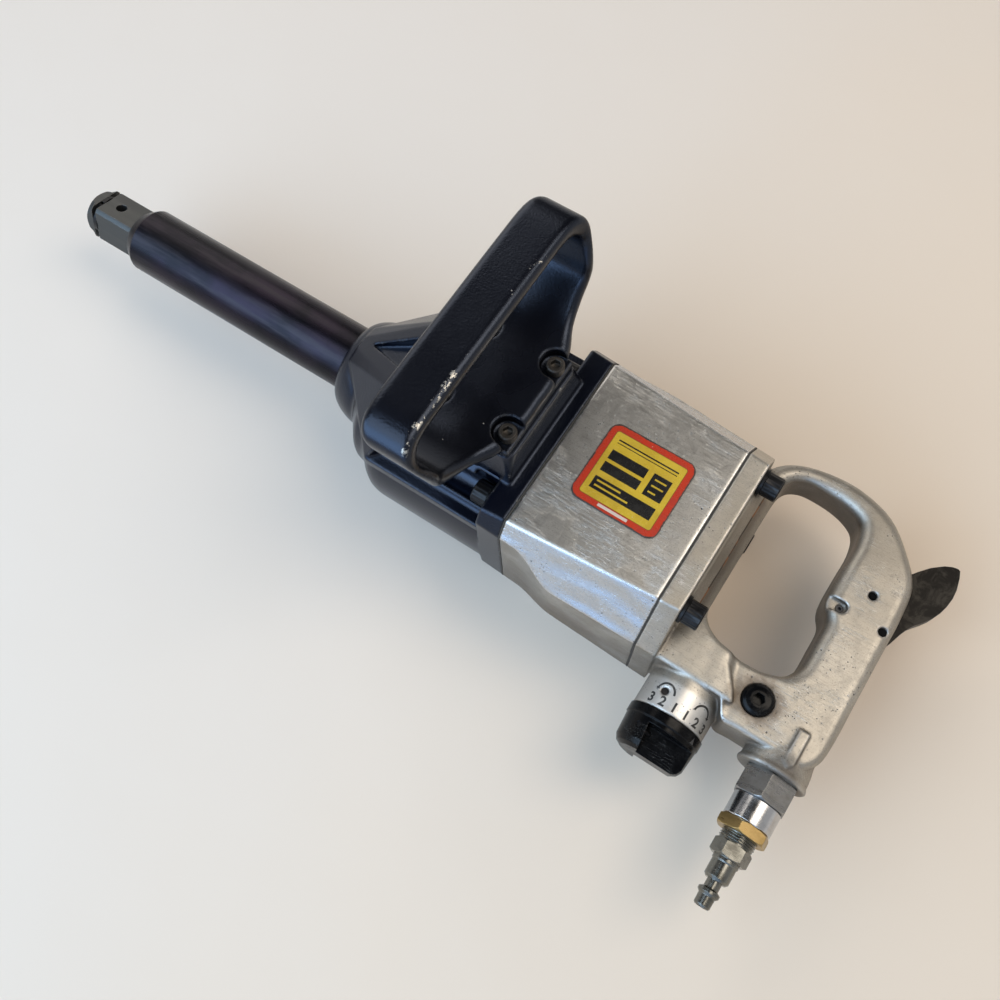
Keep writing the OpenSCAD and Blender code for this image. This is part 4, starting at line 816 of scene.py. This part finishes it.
def arc_mesh(radius, start, end, width, head):
    """Flat bent arrow: an arc of even width, in degrees from start to end, with a pointed head."""
    bm = bmesh.new()
    steps = 14

    def pair(degrees, reach):
        """Two points across the arc, each a reach from its middle line."""
        c, s = math.cos(math.radians(degrees)), math.sin(math.radians(degrees))
        return [bm.verts.new(((radius + side * reach) * c, (radius + side * reach) * s, 0))
                for side in (-1, 1)]

    rows = [pair(start + (end - start) * k / steps, width / 2) for k in range(steps + 1)]
    for lower, upper in zip(rows, rows[1:]):
        bm.faces.new((lower[0], lower[1], upper[1], upper[0]))
    way = 1 if end > start else -1
    c, s = math.cos(math.radians(end)), math.sin(math.radians(end))
    tip = Vector((radius * c - way * head * s, radius * s + way * head * c, 0))
    bm.faces.new((*pair(end, width * 1.25), bm.verts.new(tip)))
    return mesh_of(bm, "arc")


def wrapped(mesh, radius, along_y, angle, lift=0.02 * MM):
    """Bends a flat mark round the valve boss: its +X goes round it, its +Y towards the handle."""
    bm = bmesh.new()
    bm.from_mesh(mesh)
    long_edges = [edge for edge in bm.edges if edge.calc_length() > 0.8 * MM]
    bmesh.ops.subdivide_edges(bm, edges=long_edges, cuts=2)
    bmesh.ops.triangulate(bm, faces=bm.faces)
    for vert in bm.verts:
        turn = angle - vert.co.x / radius
        vert.co = (DIAL_X + (radius + lift) * math.sin(turn), along_y - vert.co.y,
                   (radius + lift) * math.cos(turn))
    bpy.data.meshes.remove(mesh)
    return mesh_of(bm, "mark")


def joined(meshes, name):
    """One mesh out of several."""
    bm = bmesh.new()
    for mesh in meshes:
        bm.from_mesh(mesh)
        bpy.data.meshes.remove(mesh)
    return mesh_of(bm, name)


def build_dial(material):
    """Power numbers round the valve boss, with a turning arrow over each half."""
    numbers_y, arrows_y = KNOB_LOW.y - 4.9 * MM, KNOB_LOW.y - 10.0 * MM
    # places round the boss, in degrees from its top
    first, spacing = 41, 19.6
    marks = []
    for k, text in enumerate("321123"):
        angle = math.radians(first - spacing * k)
        marks.append(wrapped(digit_mesh(text, 5.2 * MM), DIAL_R, numbers_y, angle))
    for start, end, place in ((5, 165, 25), (175, 15, -39)):
        arrow = arc_mesh(5.3 * MM, start, end, 1.2 * MM, 1.6 * MM)
        marks.append(wrapped(arrow, DIAL_R, arrows_y, math.radians(place)))
    piece("dial_marks", joined(marks, "dial_marks"), material, "tool", "cast_housing")


def build_knob_pointer(material):
    """Small moulded pointer on the rim of the knob."""
    bm = bmesh.new()
    for x, y in ((-1.5, 5.2), (1.5, 5.2), (0.0, 1.4)):
        bm.verts.new((x * MM, -y * MM, 0))
    bm.faces.new(bm.verts)
    radius = (KNOB_HIGH.x - KNOB_LOW.x) / 2
    mark = wrapped(mesh_of(bm, "pointer"), radius, KNOB_LOW.y, math.radians(-48), 0.04 * MM)
    piece("knob_pointer", mark, material, "reverse", "knob_plastic")


def turned_copy(name, node, degrees, material, slot):
    """A copy of a CAD fitting turned on the inlet's axis, as it was screwed home."""
    mesh = NODES[node].data.copy()
    there = Matrix.Translation((INLET_X, 0, 0))
    mesh.transform(there @ Matrix.Rotation(math.radians(degrees), 4, "Y") @ there.inverted())
    piece(name, mesh, material, "tool", slot, node)


def build_plug_thread(material):
    """Visible turns of the pipe thread between the brass hexagon and the plug's hexagon."""
    pitch, turns, around = 1.41 * MM, 3.6, 48
    root, crest = 9.0 * MM, 9.85 * MM
    start = span("inlet_reducer")[1].y - 0.3 * MM
    last = int(turns * around)
    bm = bmesh.new()
    rows = []
    for k in range(last + 1):
        # the ridge rises out of the root and sinks back into it within a quarter turn
        fade = max(min(1.0, k / 12, (turns * around - k) / 12), 0.05)
        ridge = root + (crest - root) * fade
        profile = ((root, -0.45), (ridge, -0.06), (ridge, 0.06), (root, 0.45))
        angle = 2 * math.pi * k / around
        y = start + pitch * k / around
        c, s = math.cos(angle), math.sin(angle)
        rows.append([bm.verts.new((INLET_X + r * c, y + shift * pitch, r * s))
                     for r, shift in profile])
    for lower, upper in zip(rows, rows[1:]):
        bridge(bm, lower, upper)
    bm.faces.new(rows[0])
    bm.faces.new(list(reversed(rows[-1])))
    bmesh.ops.recalc_face_normals(bm, faces=bm.faces)
    mesh = mesh_of(bm, "thread")
    shade(mesh, 50)
    piece("plug_thread", mesh, material, "tool", "plug_steel")


# ---------------------------------------------------------------- stage, light and camera

BACKDROP = (0.74, 0.71, 0.675, 1)
ROOM_STRENGTH = 0.8
TOOL_MIDDLE = (-0.33, 0, 0.02)


def backdrop_floor(n):
    """Pale paper, painted warmer towards the handle as the warm lamp's light, that turns into the
    backdrop far from the lamps, straight and in mirrors.
    """
    cloud = n.times(n.minus(n.noise(3.0, 3, 0.5), 0.5), 0.3)
    warm_light_drift = n.plus(n.xyz()[0], cloud)
    # painted light: the paper turns warmer towards the handle, where the warm lamp's light falls
    colour = n.mix(n.ramp(warm_light_drift, -0.02, -0.62), (0.745, 0.665, 0.585, 1), (0.775, 0.655, 0.53, 1))
    far = n.ramp(n.measure("DISTANCE", n.at, (-0.3, 0, 0)), 0.6, 1.15)
    ray = n.add("ShaderNodeLightPath")
    direct = n.most(ray["Is Camera Ray"], ray["Is Glossy Ray"], ray["Is Transmission Ray"])
    seen = n.times(far, direct)
    colour = n.mix(n.minus(far, seen), colour, (0.35, 0.35, 0.35, 1))
    colour = n.mix(seen, colour, (0, 0, 0, 1))
    return n.done(Base_Color=colour, Roughness=0.55, Specular_IOR_Level=0.0,
                  Emission_Color=BACKDROP, Emission_Strength=seen,
                  Normal=n.bump(n.noise(9.0, 2), 1.2 * MM, n.flat))


def build_stage():
    """A wide floor just under the flat side on which the tool lies."""
    floor_z = CASE_LOW.z - 0.2 * MM
    reach = 6.0
    corners = ((-reach, -reach), (reach, -reach), (reach, reach), (-reach, reach))
    mesh = bpy.data.meshes.new("floor")
    mesh.from_pydata([(x, y, floor_z) for x, y in corners], [], [(0, 1, 2, 3)])
    mesh.materials.append(backdrop_floor(Finish("floor_paper")))
    linked("floor", mesh)


def area_light(name, place, target, size, watts, colour):
    """A rectangular lamp at a place, turned to a target; sizes in metres."""
    light = bpy.data.lights.new(name, "AREA")
    light.shape = "RECTANGLE"
    light.size, light.size_y = size
    light.energy = watts
    light.color = colour
    obj = linked(name, light)
    obj.location = place
    obj.rotation_euler = (Vector(target) - Vector(place)).to_track_quat("-Z", "Y").to_euler()


def build_room():
    """World: a pale room, dim above the camera, with daylight low down on the knob side."""
    world = bpy.data.worlds.new("studio")
    bpy.context.scene.world = world
    n = Net(world, "Generated")
    ray = n.add("ShaderNodeLightPath")
    backdrop = scaled(BACKDROP, 1 / ROOM_STRENGTH)
    dim = n.ramp(n.measure("DOT_PRODUCT", n.at, (0.25, -0.40, 0.88)), 0.35, 0.88)
    colour = n.mix(dim, (0.60, 0.60, 0.60, 1), (0.040, 0.038, 0.037, 1))
    # metal mirrors the backdrop all round the horizon
    mirrored = n.times(n.ramp(n.xyz()[2], 0.35, 0.10), ray["Is Glossy Ray"])
    colour = n.mix(mirrored, colour, backdrop)
    # the slanted faces of the housing mirror the daylight
    daylight = n.ramp(n.measure("DOT_PRODUCT", n.at, (0.08, 0.97, 0.22)), 0.70, 0.97)
    colour = n.mix(daylight, colour, (0.92, 1.22, 1.72, 1))
    # straight or through glass, only the plain backdrop is seen
    straight = n.most(ray["Is Camera Ray"], ray["Is Transmission Ray"])
    background = n.tree.nodes["Background"]
    n.feed(background.inputs["Color"], n.mix(straight, colour, backdrop))
    n.feed(background.inputs["Strength"], ROOM_STRENGTH)


def build_lamps():
    """A cool window and skylight on the knob side, a warm lamp behind and a soft bounce."""
    area_light("window", (0.45, 1.20, 0.90), TOOL_MIDDLE, (1.8, 1.15), 24.0, (0.50, 0.73, 1.0))
    area_light("skylight", (0.12, 0.52, 1.35), TOOL_MIDDLE, (0.9, 0.6), 5.5, (0.72, 0.86, 1.0))
    area_light("lamp", (-1.02, -0.40, 1.42), (-0.5, 0, 0), (0.75, 1.1), 11.0, (1.0, 0.90, 0.78))
    area_light("bounce", (0.9, -0.9, 1.1), TOOL_MIDDLE, (1.2, 1.2), 9.0, (1.0, 0.94, 0.87))


def build_camera():
    """Camera at the photograph's viewing angle, fitted to the outline of the tool."""
    camera = bpy.data.cameras.new("camera")
    camera.lens = 37.8
    camera.sensor_width = 36
    obj = linked("camera", camera)
    look = Vector((0.226616, -0.284548, -0.931492))
    aim = look.to_track_quat("-Z", "Y").to_matrix().to_4x4()
    place = Matrix.Translation((-0.44368, 0.20637, 0.57786))
    roll = Matrix.Rotation(math.radians(-5.5), 4, "Z")
    obj.matrix_world = place @ aim @ roll
    bpy.context.scene.camera = obj
    bpy.context.scene.view_settings.view_transform = "Standard"


# ---------------------------------------------------------------- assembly

OIL_BROWN = (0.16, 0.095, 0.045, 1)
SOOT = (0.12, 0.105, 0.09, 1)
DEEP_OIL = (0.06, 0.042, 0.026, 1)


def finish_node(node, material):
    """Gives every slot of a CAD node's mesh the material."""
    mesh = NODES[node].data
    if not mesh.materials:
        mesh.materials.append(material)
    for slot in NODES[node].material_slots:
        slot.material = material


def housing_finish():
    stains = [(Vector((SEAM_REAR, 0.052, 0.010)), 6 * MM, SOOT)]
    # the cool tint for the slanted faces is a painted reflection of the daylight
    return cast_aluminium("housing_cast", (0.60, 0.595, 0.575, 1), (0.51, 0.505, 0.485, 1), stains,
                          slant_reflection=(0.53, 0.62, 0.75, 1))


def handle_finish():
    stains = [
        (Vector((CAP_LOW.x + 9 * MM, CAP_LOW.y + 9 * MM, CAP_HIGH.z)), 16 * MM, OIL_BROWN),
        (Vector((INLET_X, INLET_END - 6 * MM, 19 * MM)), 12 * MM, SOOT),
        (Vector((HANDLE_FRONT - 12 * MM, 30 * MM, 20 * MM)), 12 * MM, OIL_BROWN),
        (Vector((DIAL_X + 9 * MM, KNOB_LOW.y - 10 * MM, 19 * MM)), 2.8 * MM, DEEP_OIL)]
    return cast_aluminium("handle_cast", (0.53, 0.50, 0.445, 1), (0.42, 0.39, 0.34, 1), stains,
                          rough=0.41, edge_shine=0.3, waviness=3.0, machined=turned_boss)


housing_cast = housing_finish()
handle_cast = handle_finish()
case_paint = satin_paint("case_paint", (0.0014, 0.0019, 0.0048, 1), case_chips, 0.22, 0.22)
loop_paint = satin_paint("loop_paint", (0.0020, 0.0021, 0.0036, 1), loop_chips, 0.30, 0.25,
                         1.6 * MM)
oxide_screw = black_oxide("oxide_screw")
sunk_pin = black_oxide("sunk_pin", (0.0025, 0.0025, 0.0025, 1), 0.70, (0.015, 0.015, 0.013, 1),
                       metal=0.0, shine=0.08)
brown_screw = black_oxide("brown_screw", (0.030, 0.026, 0.022, 1), 0.42, (0.20, 0.18, 0.16, 1))
zinc = bright_metal("zinc_plate", (0.20, 0.20, 0.183, 1), (0.085, 0.083, 0.071, 1), 0.24, 0.3 * MM)

finish_of_slot = {
    "black_paint": case_paint,
    "black_handle": loop_paint,
    "cast_housing": housing_cast,
    "dark_steel": black_oxide("dark_steel", (0.03, 0.03, 0.032, 1), 0.38, (0.24, 0.23, 0.22, 1)),
    "screw_steel": oxide_screw,
    "machined_steel": bright_metal("machined_steel", (0.52, 0.525, 0.53, 1), (0.34, 0.33, 0.31, 1),
                                   0.28),
    "ball_steel": bright_metal("ball_steel", (0.78, 0.78, 0.79, 1), (0.6, 0.6, 0.6, 1), 0.10,
                               pits=0.1),
    "bronze": bright_metal("bronze", (0.55, 0.33, 0.13, 1), (0.34, 0.20, 0.09, 1), 0.34),
    "brass": bright_metal("brass", (0.42, 0.295, 0.125, 1), (0.28, 0.19, 0.075, 1), 0.34, 0.5 * MM),
    "plated_steel": bright_metal("plated_steel", (0.30, 0.295, 0.287, 1), (0.19, 0.182, 0.17, 1),
                                 0.28, 0.5 * MM, (60, 500, 60)),
    "chrome": bright_metal("chrome", (0.54, 0.545, 0.56, 1), (0.40, 0.40, 0.405, 1), 0.20, 0.5 * MM,
                           (30, 1300, 30), 0.15),
    "plug_steel": zinc,
    "rubber": soft_matter("rubber", (0.018, 0.018, 0.018, 1), 0.75, 300),
    "gasket": soft_matter("gasket", (0.035, 0.030, 0.024, 1), 0.8, 500),
    "vane_laminate": soft_matter("vane_laminate", (0.24, 0.14, 0.065, 1), 0.6, 200),
    "knob_plastic": moulded_plastic("knob_plastic", (0.0018, 0.0018, 0.0022, 1), 0.19),
    "label": label_print("label_print"),
}
finish_of_node = {
    "valve_pin": oxide_screw,
    "knob_pin": oxide_screw,
    "trigger_pin": sunk_pin,
    "stop_pin": sunk_pin,
    "anvil": oxide_shaft("oxide_shaft"),
    "trigger": mottled_steel("trigger_steel"),
    "passage_plug": moulded_plastic("plug_black", (0.003, 0.003, 0.0034, 1), 0.20, 0.25),
    "handle_casting": handle_cast,
}
for part in frame["record"]["subparts"]:
    slot_finish = finish_of_slot[part["material_slot"]]
    finish_node(part["node"], finish_of_node.get(part["node"], slot_finish))

piece("case_casting", softened("hammer_case", 0.75 * MM, 5, hold_case), case_paint,
      "tool", "black_paint", "hammer_case")
piece("housing_casting", softened("motor_housing", 0.75 * MM, 5, hold_housing, ground_hollows),
      housing_cast, "tool", "cast_housing", "motor_housing")
piece("handle_ring", softened("handle_casting", 0.6 * MM, 3, hold_handle), handle_cast,
      "tool", "cast_housing", "handle_casting")
piece("grip_loop", softened("side_handle", 0.6 * MM, 3, hold_loop), loop_paint,
      "tool", "black_handle", "side_handle")
build_screws(oxide_screw, brown_screw)
build_dial(ink("dial_ink", (0.022, 0.020, 0.018, 1)))
build_knob_pointer(ink("pointer_ink", (0.045, 0.045, 0.045, 1), 0.5))
build_plug_thread(zinc)
turned_copy("hex_bushing", "inlet_bushing", -22, finish_of_slot["plated_steel"], "plated_steel")
turned_copy("brass_hexagon", "inlet_reducer", -14, finish_of_slot["brass"], "brass")
build_stage()
build_room()
build_lamps()
build_camera()
